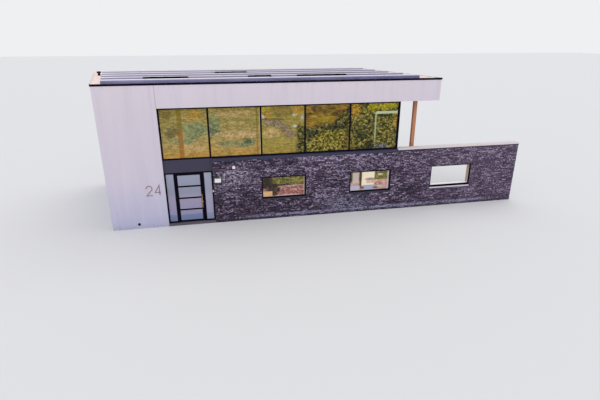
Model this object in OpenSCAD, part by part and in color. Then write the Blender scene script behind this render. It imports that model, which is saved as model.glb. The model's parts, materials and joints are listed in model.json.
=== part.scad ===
// A beach house on two storeys, in millimetres. The front faces -Y and the ground is at z = 0.
// The plan is set out from the left end of the front, and then moved so that the origin lies
// at the centre of the footprint. The side walls stand square to nothing: they splay to the left.

/* [Plan] */
// Length of the white wall at the left of the front
white_wall_l = 2290; // [1600:10:3200]
// Widths of the ribbon window's bays, from the left
bay_widths = [1965, 2170, 1905, 2020, 2310]; // [1500:5:3000]
// Depth of the house, from the front to the back
house_depth = 6850; // [5200:10:8600]
// Angle by which the side walls run back to the left of square
splay = 10.6; // [0:0.1:15]
// How far the roof reaches past the right-hand wall
roof_overhang = 1790; // [1000:10:2400]
// Length of the garden wall beyond the house
garden_wall_l = 6230; // [4900:10:8000]
// Thickness of the outer walls and of the fascia
wall_t = 300; // [220:5:400]

/* [Levels] */
// Thickness of the ground slab, which is also the height of the entry step
ground_slab_t = 100; // [60:5:150]
// Height of the brick walls of the house
brick_h = 2800; // [2500:10:3400]
// Height of the metal band over the brickwork
band_h = 110; // [80:5:160]
// Thickness of the first floor
floor_t = 250; // [180:5:320]
// Height of the ribbon window with its frame
ribbon_h = 2143; // [1700:1:2600]
// Height of the white fascia
fascia_h = 916; // [700:1:1150]
// Thickness of the ceiling under the roof space
ceiling_t = 100; // [60:5:150]
// Thickness of the roof slab
roof_slab_t = 320; // [200:5:450]
// Depth of the gravel on the roof
gravel_t = 40; // [20:5:50]
// Height of the black roof trim
trim_h = 50; // [40:5:120]
// Fall of the trim's top towards the roof
trim_fall = 5; // [0:1:30]
// How far the trim hangs down over the fascia
trim_drip = 12; // [10:1:40]

/* [Garden wall] */
// How far the garden wall rises above the brickwork of the house
garden_wall_rise = 70; // [0:5:100]
// Thickness of the coping stones
coping_t = 70; // [50:5:100]
// How far the coping stands proud of the wall
coping_lip = 30; // [20:5:60]
// Fall of the coping from its middle to each edge
coping_fall = 8; // [0:1:20]
// Length of one coping stone, with its joint
coping_stone_l = 1040; // [600:10:1500]
// Joint between two coping stones
coping_joint = 6; // [3:1:12]

/* [Windows] */
// Width of the ground floor windows and of the opening in the garden wall
window_w = 2000; // [1500:10:2400]
// Height of the windows and of the opening
window_h = 1010; // [700:10:1250]
// Height of the window sill above the ground
window_z = 960; // [750:10:1200]
// From the entry to the first window
window_1_gap = 2070; // [1200:10:2500]
// From the last window to the house's right-hand end
window_2_gap = 260; // [150:10:450]
// Visible width of a window's frame bars
window_bar = 50; // [35:5:80]
// Depth of a window's frame
window_frame_d = 60; // [45:5:90]
// How far a window's frame sits behind the wall face
window_recess = 40; // [20:5:90]
// Thickness of the window panes
pane_t = 24; // [12:2:36]
// How deep the panes' edges sit in the grooves of their frames
pane_edge = 12; // [6:1:16]
// Clear gap between a pane and its groove
pane_clear = 0.3; // [0.2:0.1:0.8]
// Width of the stepped bead round each pane
bead_w = 12; // [6:1:18]
// Depth of that step
bead_d = 8; // [4:1:12]
// Thickness of the white lining boards behind the frames
lining_t = 15; // [10:1:25]
// Thickness of the sills
sill_t = 30; // [20:5:50]
// Fall of the sills and bands in front of the frames
sill_fall = 10; // [4:1:15]
// How far the sills stand proud of the wall
sill_lip = 40; // [20:5:60]
// Thickness of the stone sill in the garden wall's opening
stone_sill_t = 50; // [30:5:80]
// Width of the steel frame round that opening
opening_bar = 40; // [30:5:60]
// Height of the frame's bottom bar
opening_foot = 85; // [40:5:120]
// How far that frame sits behind the wall face
opening_recess = 10; // [0:5:40]
// Thickness of the boards that line the opening behind the frame
opening_board = 25; // [15:5:40]

/* [Ribbon window and entry] */
// How far the band over the brickwork stands proud of the wall
band_lip = 20; // [10:5:40]
// How far the glazing sits behind the wall face
glazing_recess = 100; // [60:5:140]
// Depth of the dark frames
frame_d = 80; // [60:5:110]
// Visible width of the frame bars
frame_bar = 60; // [45:5:80]
// Side of the post at the glazed corner
corner_post = 100; // [80:5:120]
// Length of the glazing that returns along the right-hand side
side_glazing_l = 3000; // [2200:10:4000]
// How far the side glazing sits behind the side wall face
side_recess = 20; // [10:5:60]
// Height of the entry up to the top of its frame
entry_h = 2360; // [2200:10:2500]
// Width of the bars beside the front door
door_post = 50; // [40:5:80]

/* [Front door] */
// Width of the door leaf
door_w = 1130; // [900:5:1400]
// Thickness of the door leaf
door_t = 60; // [45:1:70]
// Clear gap around the door leaf
door_gap = 8; // [7:0.5:12]
// Width of the leaf's hinge stile
hinge_stile = 85; // [70:5:110]
// Width of the leaf's lock stile
lock_stile = 105; // [90:5:130]
// Height of the leaf's bottom and top rails
door_rail = 70; // [55:5:100]
// Height of the bars between the door's panes
door_bar = 55; // [35:5:80]
// Number of panes in the door
door_panes = 4; // [2:1:6]
// Thickness of the door's frosted panes
door_pane_t = 20; // [10:2:30]
// Radius of the pull bar
pull_r = 15; // [10:1:20]
// Length of the pull bar
pull_l = 600; // [400:10:900]
// Height of the pull bar's middle
pull_z = 1050; // [900:10:1200]
// Distance of the pull bar from the panes' edge
pull_in = 26; // [20:1:50]
// Height of the lock
lock_z = 1000; // [900:10:1100]
// Distance of the lock from the leaf's edge
lock_in = 50; // [35:1:60]
// Distance of the pull bar from the leaf
pull_reach = 55; // [40:5:75]
// Radius of the hinge knuckles
knuckle_r = 10; // [8:0.5:14]
// Radius of the hinge pins
hinge_pin_r = 5; // [3.5:0.5:6]
// Radial clearance of the hinge pins
pin_clear = 0.1; // [0.05:0.05:0.3]
// Height of one hinge
hinge_h = 120; // [90:5:150]

/* [Roof fittings] */
// Length of one module
module_l = 1635; // [1200:5:1800]
// Width of one module up its slope
module_w = 1000; // [800:5:1150]
// Thickness of a module
module_t = 35; // [25:5:50]
// Width of a module's frame
module_rim = 12; // [8:1:20]
// Gap between two modules
module_gap = 20; // [10:1:40]
// Tilt of the modules, which fall towards the back
module_tilt = 6.5; // [3:0.5:6.5]
// Height of the modules' high edge above the gravel
module_lift = 140; // [135:5:170]
// From the front trim to the first row
solar_front_gap = 70; // [40:10:400]
// Least gap between the side trims and the rows
solar_side_gap = 350; // [150:10:700]
// Gap between two rows
solar_row_gap = 170; // [120:10:260]
// How far the wind plate in front of each row leans back
plate_lean = 35; // [20:5:60]
// Height of the base rails under the modules
rail_h = 20; // [10:5:20]
// Width of the rails
rail_w = 40; // [30:5:60]
// Height of the ballast trays between the rows
tray_h = 135; // [60:5:160]
// Radius of the pipe of the roof vent
roof_vent_r = 60; // [40:5:80]
// Height of the roof vent above the gravel
roof_vent_h = 190; // [120:5:250]
// From the left edge of the roof to the roof vent's middle
roof_vent_in = 260; // [180:5:280]
// From the back edge of the roof to the roof vent's middle
roof_vent_back = 2350; // [600:10:2600]

/* [Fittings] */
// Side of the timber post under the roof's overhang
post_w = 160; // [120:5:220]
// From the garden wall to the timber post
post_back = 220; // [100:10:600]
// From the house's right-hand wall to the timber post
post_gap = 850; // [600:5:1400]
// Height of the timber post's foot above the ground
post_lift = 60; // [40:5:120]
// Width of the wall lamp
lamp_w = 265; // [180:5:300]
// Height of the wall lamp
lamp_h = 165; // [120:5:220]
// How far the wall lamp stands out
lamp_d = 110; // [70:5:130]
// Height of the wall lamp's underside
lamp_z = 1885; // [1700:5:2000]
// From the entry to the wall lamp
lamp_gap = 65; // [40:5:200]
// Height of the door bell's middle
bell_z = 1450; // [1200:10:1600]
// Side of the small white box on the brickwork
box_w = 120; // [90:5:150]
// Depth of that box
box_d = 50; // [30:5:80]
// Height of its underside
box_z = 2430; // [2100:10:2600]
// From the entry to the box
box_gap = 840; // [400:10:1500]
// Radius of the round vent at the foot of the white wall
vent_r = 55; // [40:5:80]
// Height of the vent's middle
vent_z = 200; // [120:5:400]
// From the entry to the vent's middle
vent_gap = 1215; // [300:5:1500]

/* [Hidden] */
house_w = white_wall_l + bay_widths[0] + bay_widths[1] + bay_widths[2] + bay_widths[3] + bay_widths[4];
roof_w = house_w + roof_overhang;
lean = tan(splay);
storey_z = brick_h + band_h;
ceiling_z = storey_z + ribbon_h;
roof_z = ceiling_z + fascia_h;
gravel_z = roof_z + gravel_t;
garden_wall_h = brick_h + garden_wall_rise;
slab_clear = 0.5;
gravel_clear = 5;
render_joint = 6;
sheet_t = 4;
sheet_drip = 12;
trim_lip = 20;
trim_w = 50;
trim_joint = 2;
coping_l = garden_wall_l + coping_lip;
coping_stones = round(coping_l / coping_stone_l);
coping_step = coping_l / coping_stones;
coping_drip = 8;
centre_x = (house_w - house_depth * lean) / 2;
centre_y = house_depth / 2;

entry_r = white_wall_l + bay_widths[0] + frame_bar / 2 + 5;
entry_w = entry_r - white_wall_l;
door_x = white_wall_l + (entry_w - door_w) / 2;
door_z = ground_slab_t + door_gap;
door_h = entry_h - frame_bar - door_gap - door_z;
door_y = glazing_recess + frame_d - door_t;
door_back = door_y + door_t;
hinge_x = door_x - door_gap / 2;
hinge_y = door_back + knuckle_r;
hinge_in = 180;
hinge_zs = [door_z + hinge_in, door_z + (door_h - hinge_h) / 2, door_z + door_h - hinge_in - hinge_h];
hinge_slack = 1;
hinge_plate_w = 45;
hinge_plate_t = 4;
lock_x = door_x + door_w - lock_in;
pane_h = (door_h - 2 * door_rail - (door_panes - 1) * door_bar) / door_panes;

window_1_x = entry_r + window_1_gap;
window_2_x = house_w - window_2_gap - window_w;
back_window_xs = [white_wall_l + window_2_gap * 2, window_1_x, window_2_x];

module_rise = module_w * sin(module_tilt);
module_run = module_w * cos(module_tilt);
row_depth = plate_lean + module_run;
low_z = module_lift - module_rise;
high_z = module_lift - rail_w * tan(module_tilt);
laminate_t = 6;
laminate_drop = 1.5;
trim_in = trim_w - trim_lip;
rows_run = house_depth - 2 * trim_in - solar_front_gap;
solar_rows = floor((rows_run + solar_row_gap) / (row_depth + solar_row_gap));
modules = floor((roof_w - 2 * trim_in - 2 * solar_side_gap) / module_l);
row_l = modules * module_l;
post_x = house_w + post_gap;
post_y = wall_t + post_back;
post_chamfer = 12;
shoe_t = 8;
shoe_h = 110;
shoe_lip = 20;
step_nose = 8;
plate_t = 3;
plate_foot = 50;
plate_fold = 8;
tray_w = 110;
tray_t = 6;
trays = [[0, 1780, 1800], [0, 6070, 1000], [0, 8200, 2240], [2, 4720, 1510]];
opening_x = [roof_w - opening_bar, roof_w + window_w + opening_bar];
opening_z = [window_z, window_z + window_h + opening_bar];
lamp_rim = 15;
lamp_well = 14;
lamp_plate = 10;

white = [0.82, 0.79, 0.82];
brick = [0.30, 0.25, 0.31];
dark = [0.10, 0.09, 0.14];
slate = [0.27, 0.26, 0.33];
pale_stone = [0.84, 0.81, 0.80];
metal = [0.70, 0.70, 0.72];
concrete = [0.60, 0.58, 0.56];
amber_glass = [0.62, 0.58, 0.30, 0.5];
frosted = [0.60, 0.60, 0.68, 0.8];

// Places what is drawn from the front's left end about the centre of the footprint.
module site() translate([-centre_x, -centre_y, 0]) children();

// The back wall is set out as the front is: from its own left end, with y running inwards.
module at_back() translate([-house_depth * lean, house_depth, 0]) mirror([0, 1, 0]) children();

// Draws an outline, given in Y and Z, along X from x[0] to x[1].
module along_x(x)
    translate([x[0], 0, 0]) rotate([90, 0, 90]) linear_extrude(x[1] - x[0]) children();

// A block whose ends can follow the splayed sides: -1 at the front, 1 at the back, 0 is square.
module block(x, y, z, ends = [0, 0])
    translate([0, 0, z[0]]) linear_extrude(z[1] - z[0]) polygon([
        [x[0] + ends[0] * lean * y[0], y[0]], [x[1] + ends[1] * lean * y[0], y[0]],
        [x[1] + ends[1] * lean * y[1], y[1]], [x[0] + ends[0] * lean * y[1], y[1]]]);

// A block with both ends on the splay, as every side wall and slab has.
module splayed(x, y, z) block(x, y, z, [-1, -1]);

module inner_slab(z, x_end = house_w - wall_t)
    splayed([wall_t, x_end], [wall_t, house_depth - wall_t], z);

module window_hole(x, bottom)
    translate([x, -1, bottom]) cube([window_w, wall_t + 2, window_z + window_h - bottom]);

module brick_with_windows(x, xs, ends) difference() {
    block(x, [0, wall_t], [0, brick_h], ends);
    for (at = xs) window_hole(at, window_z - sill_t);
}

module white_end_wall(end)
    block([0, white_wall_l], [0, wall_t], [0, roof_z], [end, 0]);

// The lights between a frame's bars, each as [x0, x1, z0, z1]. A frame can end in a wider bar.
function lights(x, z, bar, mullions = [], end_bar = undef) =
    let (last = is_undef(end_bar) ? bar : end_bar,
         middles = concat([x[0] + bar / 2], mullions, [x[1] - last + bar / 2]))
    [for (i = [0 : len(middles) - 2])
        [middles[i] + bar / 2, middles[i + 1] - bar / 2, z[0] + bar, z[1] - bar]];

// What fills one light between two depths, and reaches past its edges all round.
module light(l, y, past = 0)
    translate([l[0] - past, y[0], l[2] - past])
        cube([l[1] - l[0] + 2 * past, y[1] - y[0], l[3] - l[2] + 2 * past]);

function pane_y(y, thick) = [(y[0] + y[1] - thick) / 2, (y[0] + y[1] + thick) / 2];
function wider(y, by) = [y[0] - by, y[1] + by];

// Cuts each light through a frame, with a stepped bead outside and a groove for the pane's edge.
module light_cuts(all, y, thick) for (l = all) {
    light(l, wider(y, 1));
    light(l, [y[0] - 1, y[0] + bead_d], bead_w);
    light(l, wider(pane_y(y, thick), pane_clear), pane_edge + pane_clear);
}

module frame(x, y, z, all) difference() {
    translate([x[0], y[0], z[0]]) cube([x[1] - x[0], y[1] - y[0], z[1] - z[0]]);
    light_cuts(all, y, pane_t);
}

module panes(all, y, thick = pane_t) for (l = all) light(l, pane_y(y, thick), pane_edge);

function running(v, n) = n < 0 ? 0 : v[n] + running(v, n - 1);
ribbon_mullions = [for (i = [0 : len(bay_widths) - 2]) white_wall_l + running(bay_widths, i)];

ribbon_y = [glazing_recess, glazing_recess + frame_d];
ribbon_x = [white_wall_l, house_w];
ribbon_z = [storey_z, ceiling_z];
back_lights = lights(ribbon_x, ribbon_z, frame_bar, ribbon_mullions);
front_lights = lights(ribbon_x, ribbon_z, frame_bar, ribbon_mullions, corner_post);

// Storeys

module ground_slab() color(concrete) site() inner_slab([0, ground_slab_t]);

module entry_step() color([0.45, 0.43, 0.46]) site() along_x([white_wall_l, entry_r])
    polygon([[0, 0], [wall_t, 0], [wall_t, ground_slab_t], [step_nose, ground_slab_t],
        [0, ground_slab_t - step_nose]]);

module white_wall() color(white) site() white_end_wall(-1);

module left_wall() color(white) site()
    splayed([0, wall_t], [wall_t, house_depth - wall_t], [0, roof_z]);

module front_brick_wall() color(brick) site()
    brick_with_windows([entry_r, house_w], [window_1_x, window_2_x], [0, 0]);

module right_brick_wall() color(brick) site()
    splayed([house_w - wall_t, house_w], [wall_t, house_depth - wall_t], [0, brick_h]);

module back_brick_wall() color(brick) site() at_back()
    brick_with_windows([white_wall_l, house_w], back_window_xs, [0, 1]);

module back_white_wall() color(white) site() at_back() white_end_wall(1);

module first_floor() color([0.7, 0.66, 0.6]) site()
    inner_slab([storey_z - floor_t, storey_z], house_w - wall_t - slab_clear);

module entry_lintel() color(white) site()
    translate([white_wall_l, glazing_recess + frame_d, entry_h])
        cube([entry_w, wall_t - glazing_recess - frame_d, storey_z - entry_h]);

// The metal over the brickwork: flat under the frame, falling to a lip with a drip in front.
module band(x) along_x(x) polygon([
    [wall_t, brick_h], [wall_t, storey_z], [glazing_recess, storey_z],
    [-band_lip, storey_z - sill_fall], [-band_lip, brick_h - sheet_drip],
    [-band_lip + sheet_t, brick_h - sheet_drip], [-band_lip + sheet_t, brick_h]]);

module sill_bands() color(slate) site() {
    band([entry_r, house_w]);
    at_back() intersection() {
        band([white_wall_l, house_w + wall_t]);
        block([white_wall_l, house_w], [-band_lip - 1, wall_t + 1], [0, roof_z], [0, 1]);
    }
    splayed([house_w - wall_t, house_w], [wall_t, side_glazing_l], [brick_h, storey_z]);
}

module upper_side_wall() color(white) site()
    splayed([house_w - wall_t, house_w], [side_glazing_l, house_depth - wall_t],
        [brick_h, ceiling_z]);

// Ribbon windows

module ribbon_frame() color(dark) site() difference() {
    union() {
        frame(ribbon_x, ribbon_y, ribbon_z, []);
        translate([house_w - corner_post, glazing_recess, storey_z])
            cube([corner_post, corner_post, ribbon_h]);
    }
    light_cuts(front_lights, ribbon_y, pane_t);
}

module ribbon_glass() color(amber_glass) site() panes(front_lights, ribbon_y);

module back_ribbon_frame() color(dark) site() at_back()
    frame(ribbon_x, ribbon_y, ribbon_z, back_lights);

module back_ribbon_glass() color(amber_glass) site() at_back() panes(back_lights, ribbon_y);

side_y = [glazing_recess + corner_post, side_glazing_l];
side_mid = (side_y[0] + side_y[1]) / 2;
side_x = [house_w - side_recess - frame_d, house_w - side_recess];

// The two lights along the side, which follow its splay.
module side_lights(x, past = 0) {
    for (y = [[side_y[0] + frame_bar, side_mid - frame_bar / 2],
              [side_mid + frame_bar / 2, side_y[1] - frame_bar]])
        splayed(x, wider(y, past), wider([storey_z + frame_bar, ceiling_z - frame_bar], past));
}

module side_window_frame() color(dark) site() difference() {
    splayed(side_x, side_y, ribbon_z);
    side_lights(wider(side_x, 1));
    side_lights([side_x[1] - bead_d, side_x[1] + 1], bead_w);
    side_lights(wider(pane_y(side_x, pane_t), pane_clear), pane_edge + pane_clear);
}

module side_window_glass() color(amber_glass) site() side_lights(pane_y(side_x, pane_t), pane_edge);

// Roof

module ceiling() color(white) site()
    inner_slab([ceiling_z, ceiling_z + ceiling_t], roof_w - wall_t);

module roof_slab() color(concrete) site()
    inner_slab([roof_z - roof_slab_t, roof_z], roof_w - wall_t);

// A fascia that runs from the white wall, with a narrow joint against it, to the roof's far end.
module long_fascia(end) difference() {
    block([white_wall_l, roof_w], [0, wall_t], [ceiling_z, roof_z], [0, end]);
    translate([white_wall_l - 1, -1, ceiling_z - 1])
        cube([render_joint + 1, render_joint + 1, fascia_h + 2]);
}

module front_fascia() color(white) site() long_fascia(-1);

module side_fascia() color(white) site()
    splayed([roof_w - wall_t, roof_w], [wall_t, house_depth - wall_t], [ceiling_z, roof_z]);

module back_fascia() color(white) site() at_back() long_fascia(1);

gravel_in = trim_in + gravel_clear;

module roof_gravel() color([0.86, 0.79, 0.77]) site()
    splayed([gravel_in, roof_w - gravel_in], [gravel_in, house_depth - gravel_in],
        [roof_z, gravel_z]);

// The trim's outline, set out inwards from the wall's face and upwards from the roof. A share
// narrows it across its run, so that it keeps its width along X where it follows the splay.
module trim_outline(share = 1) polygon([for (p = [
    [-trim_lip, -trim_drip], [-trim_lip, trim_h], [trim_in, trim_h - trim_fall], [trim_in, 0],
    [sheet_t - trim_lip, 0], [sheet_t - trim_lip, -trim_drip]]) [p[0] * share, p[1]]]);

// Cuts a run of trim to its mitres, which are set out in plan before the splay.
module mitred(points) intersection() {
    children();
    translate([0, 0, -trim_drip - 1]) linear_extrude(trim_drip + trim_h + 2)
        polygon([for (p = points) [p[0] - p[1] * lean, p[1]]]);
}

module side_trim() {
    out = -trim_lip - 5;
    mitred([[out, out + trim_joint], [trim_w, trim_w + trim_joint],
            [trim_w, house_depth - trim_w - trim_joint], [out, house_depth - out - trim_joint]])
        rotate([0, 0, splay]) translate([0, 2 * house_depth, 0]) rotate([90, 0, 0])
            linear_extrude(3 * house_depth) trim_outline(cos(splay));
}

module front_trim() {
    out = -trim_lip - 5;
    mitred([[out, out], [trim_w, trim_w], [roof_w - trim_w, trim_w], [roof_w - out, out]])
        along_x([-house_w, 2 * house_w]) trim_outline();
}

// Turned half round about the middle of the roof, a run of trim becomes the one opposite.
module opposite() translate([roof_w - house_depth * lean, house_depth, 0]) rotate([0, 0, 180])
    children();

module roof_trim() color(dark) site() translate([0, 0, roof_z]) {
    front_trim();
    side_trim();
    opposite() {
        front_trim();
        side_trim();
    }
}

// One framed module: a thin laminate in a rim that is open underneath.
module solar_module() {
    size = [module_l - module_gap, module_w, module_t];
    inner = [size[0] - 2 * module_rim, size[1] - 2 * module_rim];
    difference() {
        cube(size);
        translate([module_rim, module_rim, module_t - laminate_drop])
            cube([inner[0], inner[1], laminate_drop + 1]);
        translate([module_rim, module_rim, -1])
            cube([inner[0], inner[1], module_t - laminate_drop - laminate_t + 1]);
    }
}

function row_y(i) = trim_in + solar_front_gap + i * (row_depth + solar_row_gap);
function row_x(i) = trim_in + solar_side_gap - row_y(i) * lean;

module solar_panels() color([0.38, 0.40, 0.52]) site() for (i = [0 : solar_rows - 1])
    translate([row_x(i), row_y(i) + plate_lean, gravel_z + module_lift]) rotate([-module_tilt, 0, 0])
        for (k = [0 : modules - 1])
            translate([k * module_l + module_gap / 2, 0, 0]) solar_module();

// The wind plate in front of a row, from its foot on the gravel to its lip against the high
// rail, with a fold two thirds of the way up that stiffens it.
module wind_plate() {
    lip = plate_lean - plate_t;
    mid = [lip / 2, high_z * 0.66];
    polygon([[0, 0], [0, plate_t], mid, mid + [plate_fold, 2], [lip, high_z - rail_w / 2],
        [lip, high_z], [plate_lean, high_z], [plate_lean, high_z - rail_w / 2],
        mid + [plate_fold + plate_t, 0], mid + [plate_t, -2], [plate_t, plate_t],
        [plate_foot, plate_t], [plate_foot, 0]]);
}

// Each row lies on a low rail at the back and a high one in front, on a leg and a base rail at
// every joint.
module solar_rails() color(metal) site() for (i = [0 : solar_rows - 1])
    translate([row_x(i), row_y(i), gravel_z]) {
        along_x([0, row_l]) wind_plate();
        translate([0, plate_lean, high_z - rail_w]) cube([row_l, rail_w, rail_w]);
        translate([0, row_depth - rail_w, 0]) cube([row_l, rail_w, low_z]);
        for (leg = [0 : modules]) translate([leg * (row_l - rail_w) / modules, 0, 0]) {
            translate([0, plate_lean, plate_t]) cube([rail_w, rail_w, high_z - rail_w / 2 - plate_t]);
            translate([0, plate_foot - 1, 0]) cube([rail_w, row_depth - plate_foot, rail_h]);
        }
    }

// Open black trays of ballast, which stand in the gaps between the rows.
module ballast_trays() color(dark) site() for (t = trays)
    translate([t[1], row_y(t[0]) + row_depth + (solar_row_gap - tray_w) / 2, gravel_z]) difference() {
        cube([t[2], tray_w, tray_h]);
        translate([tray_t, tray_t, tray_h - 4 * tray_t])
            cube([t[2] - 2 * tray_t, tray_w - 2 * tray_t, tray_h]);
    }

// A pipe under a wider cowl, which leaves a slot open all round between them.
module roof_vent() color(dark) site()
    translate([roof_vent_in - (house_depth - roof_vent_back) * lean, house_depth - roof_vent_back,
        gravel_z]) rotate_extrude($fn = 48) polygon([
            [0, 0], [roof_vent_r * 1.5, 0], [roof_vent_r * 1.5, 6], [roof_vent_r, 12],
            [roof_vent_r, roof_vent_h * 0.5], [roof_vent_r * 0.6, roof_vent_h * 0.5],
            [roof_vent_r * 0.6, roof_vent_h * 0.6], [roof_vent_r * 1.4, roof_vent_h * 0.6],
            [roof_vent_r * 1.5, roof_vent_h * 0.65], [roof_vent_r * 1.5, roof_vent_h * 0.9],
            [roof_vent_r * 1.3, roof_vent_h], [0, roof_vent_h]]);

// Entry and front door

entry_y = [glazing_recess, glazing_recess + frame_d];
door_y_span = [door_y, door_back];
door_post_xs = [door_x - door_gap - door_post, door_x + door_w + door_gap];
sidelight_z = [ground_slab_t + frame_bar, entry_h - frame_bar];
sidelights = [
    [white_wall_l + frame_bar, door_post_xs[0], sidelight_z[0], sidelight_z[1]],
    [door_post_xs[1] + door_post, entry_r - frame_bar, sidelight_z[0], sidelight_z[1]]];

module entry_frame() color(dark) site() difference() {
    frame([white_wall_l, entry_r], entry_y, [ground_slab_t, entry_h], sidelights);
    translate([door_x - door_gap, glazing_recess - 1, ground_slab_t - 1])
        cube([door_w + 2 * door_gap, frame_d + 2, door_h + 2 * door_gap + 1]);
}

module spandrel_panel() color(slate) site()
    translate([white_wall_l, glazing_recess, entry_h])
        cube([entry_w, frame_d, storey_z - entry_h]);

module sidelight_glass() color(frosted) site() panes(sidelights, entry_y);

door_lights = [for (i = [0 : door_panes - 1]) let (z = door_z + door_rail + i * (pane_h + door_bar))
    [door_x + hinge_stile, door_x + door_w - lock_stile, z, z + pane_h]];

module front_door() color(dark) site() difference() {
    translate([door_x, door_y, door_z]) cube([door_w, door_t, door_h]);
    light_cuts(door_lights, door_y_span, door_pane_t);
}

module door_glass() color(frosted) site() panes(door_lights, door_y_span, door_pane_t);

// A turned piece that stands out from the leaf: outwards for side -1, into the room for side 1.
module turned(x, z, side, r, l, from = 0)
    translate([x, (side < 0 ? door_y : door_back) + side * from, z]) rotate([-side * 90, 0, 0])
        cylinder(r = r, h = l, $fn = 32);

pull_x = door_x + door_w - lock_stile + pull_in;
stay_r = 9;
stay_in = 90;
rosette_r = 26;
rosette_t = 8;
lever_l = 125;

// The pull bar and the lock outside, and the lever on its rosette inside.
module door_handle() color([0.78, 0.72, 0.58]) site() {
    translate([pull_x, door_y - pull_reach, pull_z - pull_l / 2])
        cylinder(r = pull_r, h = pull_l, $fn = 32);
    for (side = [-1, 1]) turned(pull_x, pull_z + side * (pull_l / 2 - stay_in), -1, stay_r, pull_reach);
    turned(lock_x, lock_z, -1, rosette_r * 2 / 3, rosette_t);
    turned(lock_x, lock_z, 1, rosette_r, rosette_t);
    turned(lock_x, lock_z, 1, stay_r, pull_reach);
    translate([lock_x, door_back + pull_reach, lock_z]) sphere(r = stay_r, $fn = 32);
    translate([lock_x, door_back + pull_reach, lock_z]) rotate([0, -90, 0])
        cylinder(r = stay_r, h = lever_l, $fn = 32);
}

// Three knuckles share one pin: the outer two stay on the frame, the middle one turns.
knuckle_h = (hinge_h - 2 * hinge_slack) / 3;

module hinge_plate(side, z)
    translate([side > 0 ? 0 : -hinge_plate_w, -knuckle_r, z])
        cube([hinge_plate_w, hinge_plate_t, knuckle_h]);

module knuckle(z) translate([0, 0, z]) cylinder(r = knuckle_r, h = knuckle_h, $fn = 32);

module each_hinge() for (z = hinge_zs) translate([hinge_x, hinge_y, z]) children();

module door_hinges() color(metal) site() each_hinge() {
    for (z = [0, hinge_h - knuckle_h]) {
        knuckle(z);
        hinge_plate(-1, z);
    }
    cylinder(r = hinge_pin_r, h = hinge_h, $fn = 32);
}

module door_hinge_leaves() color(metal) site() each_hinge() difference() {
    union() {
        knuckle(knuckle_h + hinge_slack);
        hinge_plate(1, knuckle_h + hinge_slack);
    }
    cylinder(r = hinge_pin_r + pin_clear, h = hinge_h, $fn = 32);
}

// Ground floor windows

module each_window() {
    for (x = [window_1_x, window_2_x]) translate([x, 0, 0]) children();
    at_back() for (x = back_window_xs) translate([x, 0, 0]) children();
}

window_x = [0, window_w];
window_y = [window_recess, window_recess + window_frame_d];
window_zs = [window_z, window_z + window_h];
window_light = lights(window_x, window_zs, window_bar);

module window_frames() color(dark) site() each_window()
    frame(window_x, window_y, window_zs, window_light);

module window_glass() color(amber_glass) site() each_window() panes(window_light, window_y);

module window_sills() color(slate) site() each_window() along_x(window_x) translate([0, window_z])
    polygon([[wall_t, -sill_t], [wall_t, 0], [window_recess, 0], [-sill_lip, -sill_fall],
        [-sill_lip, -sill_t - sheet_drip], [sheet_t - sill_lip, -sill_t - sheet_drip],
        [sheet_t - sill_lip, -sill_t]]);

lining_y = window_recess + window_frame_d;

module window_linings() color([0.88, 0.87, 0.88]) site() each_window() difference() {
    translate([0, lining_y, window_z]) cube([window_w, wall_t - lining_y, window_h]);
    translate([lining_t, lining_y - 1, window_z + lining_t])
        cube([window_w - 2 * lining_t, wall_t - lining_y + 2, window_h - 2 * lining_t]);
}

// Garden wall

module garden_wall() color(brick) site() difference() {
    translate([house_w, 0, 0]) cube([garden_wall_l, wall_t, garden_wall_h]);
    opening_block([-1, wall_t + 1], 0, window_z - stone_sill_t);
}

// A block as wide and high as the opening less an edge all round, from a given height upwards.
module opening_block(y, edge, bottom) translate([opening_x[0] + edge, y[0], bottom])
    cube([opening_x[1] - opening_x[0] - 2 * edge, y[1] - y[0], opening_z[1] - edge - bottom]);

// Half of a coping stone's outline, from the middle of the wall, with its drip groove.
module half_coping() {
    edge = wall_t / 2 + coping_lip;
    groove = edge - coping_lip / 2;
    polygon([[0, 0], [groove - coping_drip / 2, 0], [groove - coping_drip / 2, coping_drip],
        [groove + coping_drip / 2, coping_drip], [groove + coping_drip / 2, 0], [edge, 0],
        [edge, coping_t - coping_fall], [0, coping_t]]);
}

module wall_coping() color(pale_stone) site() for (i = [0 : coping_stones - 1])
    along_x([house_w + i * coping_step, house_w + (i + 1) * coping_step - coping_joint])
        translate([wall_t / 2, garden_wall_h]) {
            half_coping();
            mirror([1, 0]) half_coping();
        }

module opening_sill() color(pale_stone) site() along_x(opening_x) translate([0, window_z])
    polygon([[-sill_lip, -stone_sill_t], [wall_t + sill_lip, -stone_sill_t],
        [wall_t + sill_lip, -sill_fall], [wall_t, 0], [opening_recess, 0],
        [-sill_lip, -sill_fall]]);

opening_y = [opening_recess, opening_recess + window_frame_d];

module opening_frame() color(dark) site() difference() {
    opening_block(opening_y, 0, window_z);
    opening_block(wider(opening_y, 1), opening_bar, window_z + opening_foot);
}

// Boards along both sides and the head of the opening, and a pale inner sill as high as the
// frame's bottom bar.
module opening_lining() color([0.86, 0.82, 0.80]) site() difference() {
    opening_block([opening_y[1], wall_t], 0, window_z);
    opening_block([opening_y[1] - 1, wall_t + 1], opening_board, window_z + opening_foot);
}

// Post and fittings

module terrace_post() color([0.60, 0.38, 0.27]) site() translate([post_x, post_y, post_lift])
    linear_extrude(ceiling_z - post_lift) polygon([
        [post_chamfer, 0], [post_w - post_chamfer, 0], [post_w, post_chamfer],
        [post_w, post_w - post_chamfer], [post_w - post_chamfer, post_w],
        [post_chamfer, post_w], [0, post_w - post_chamfer], [0, post_chamfer]]);

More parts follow.
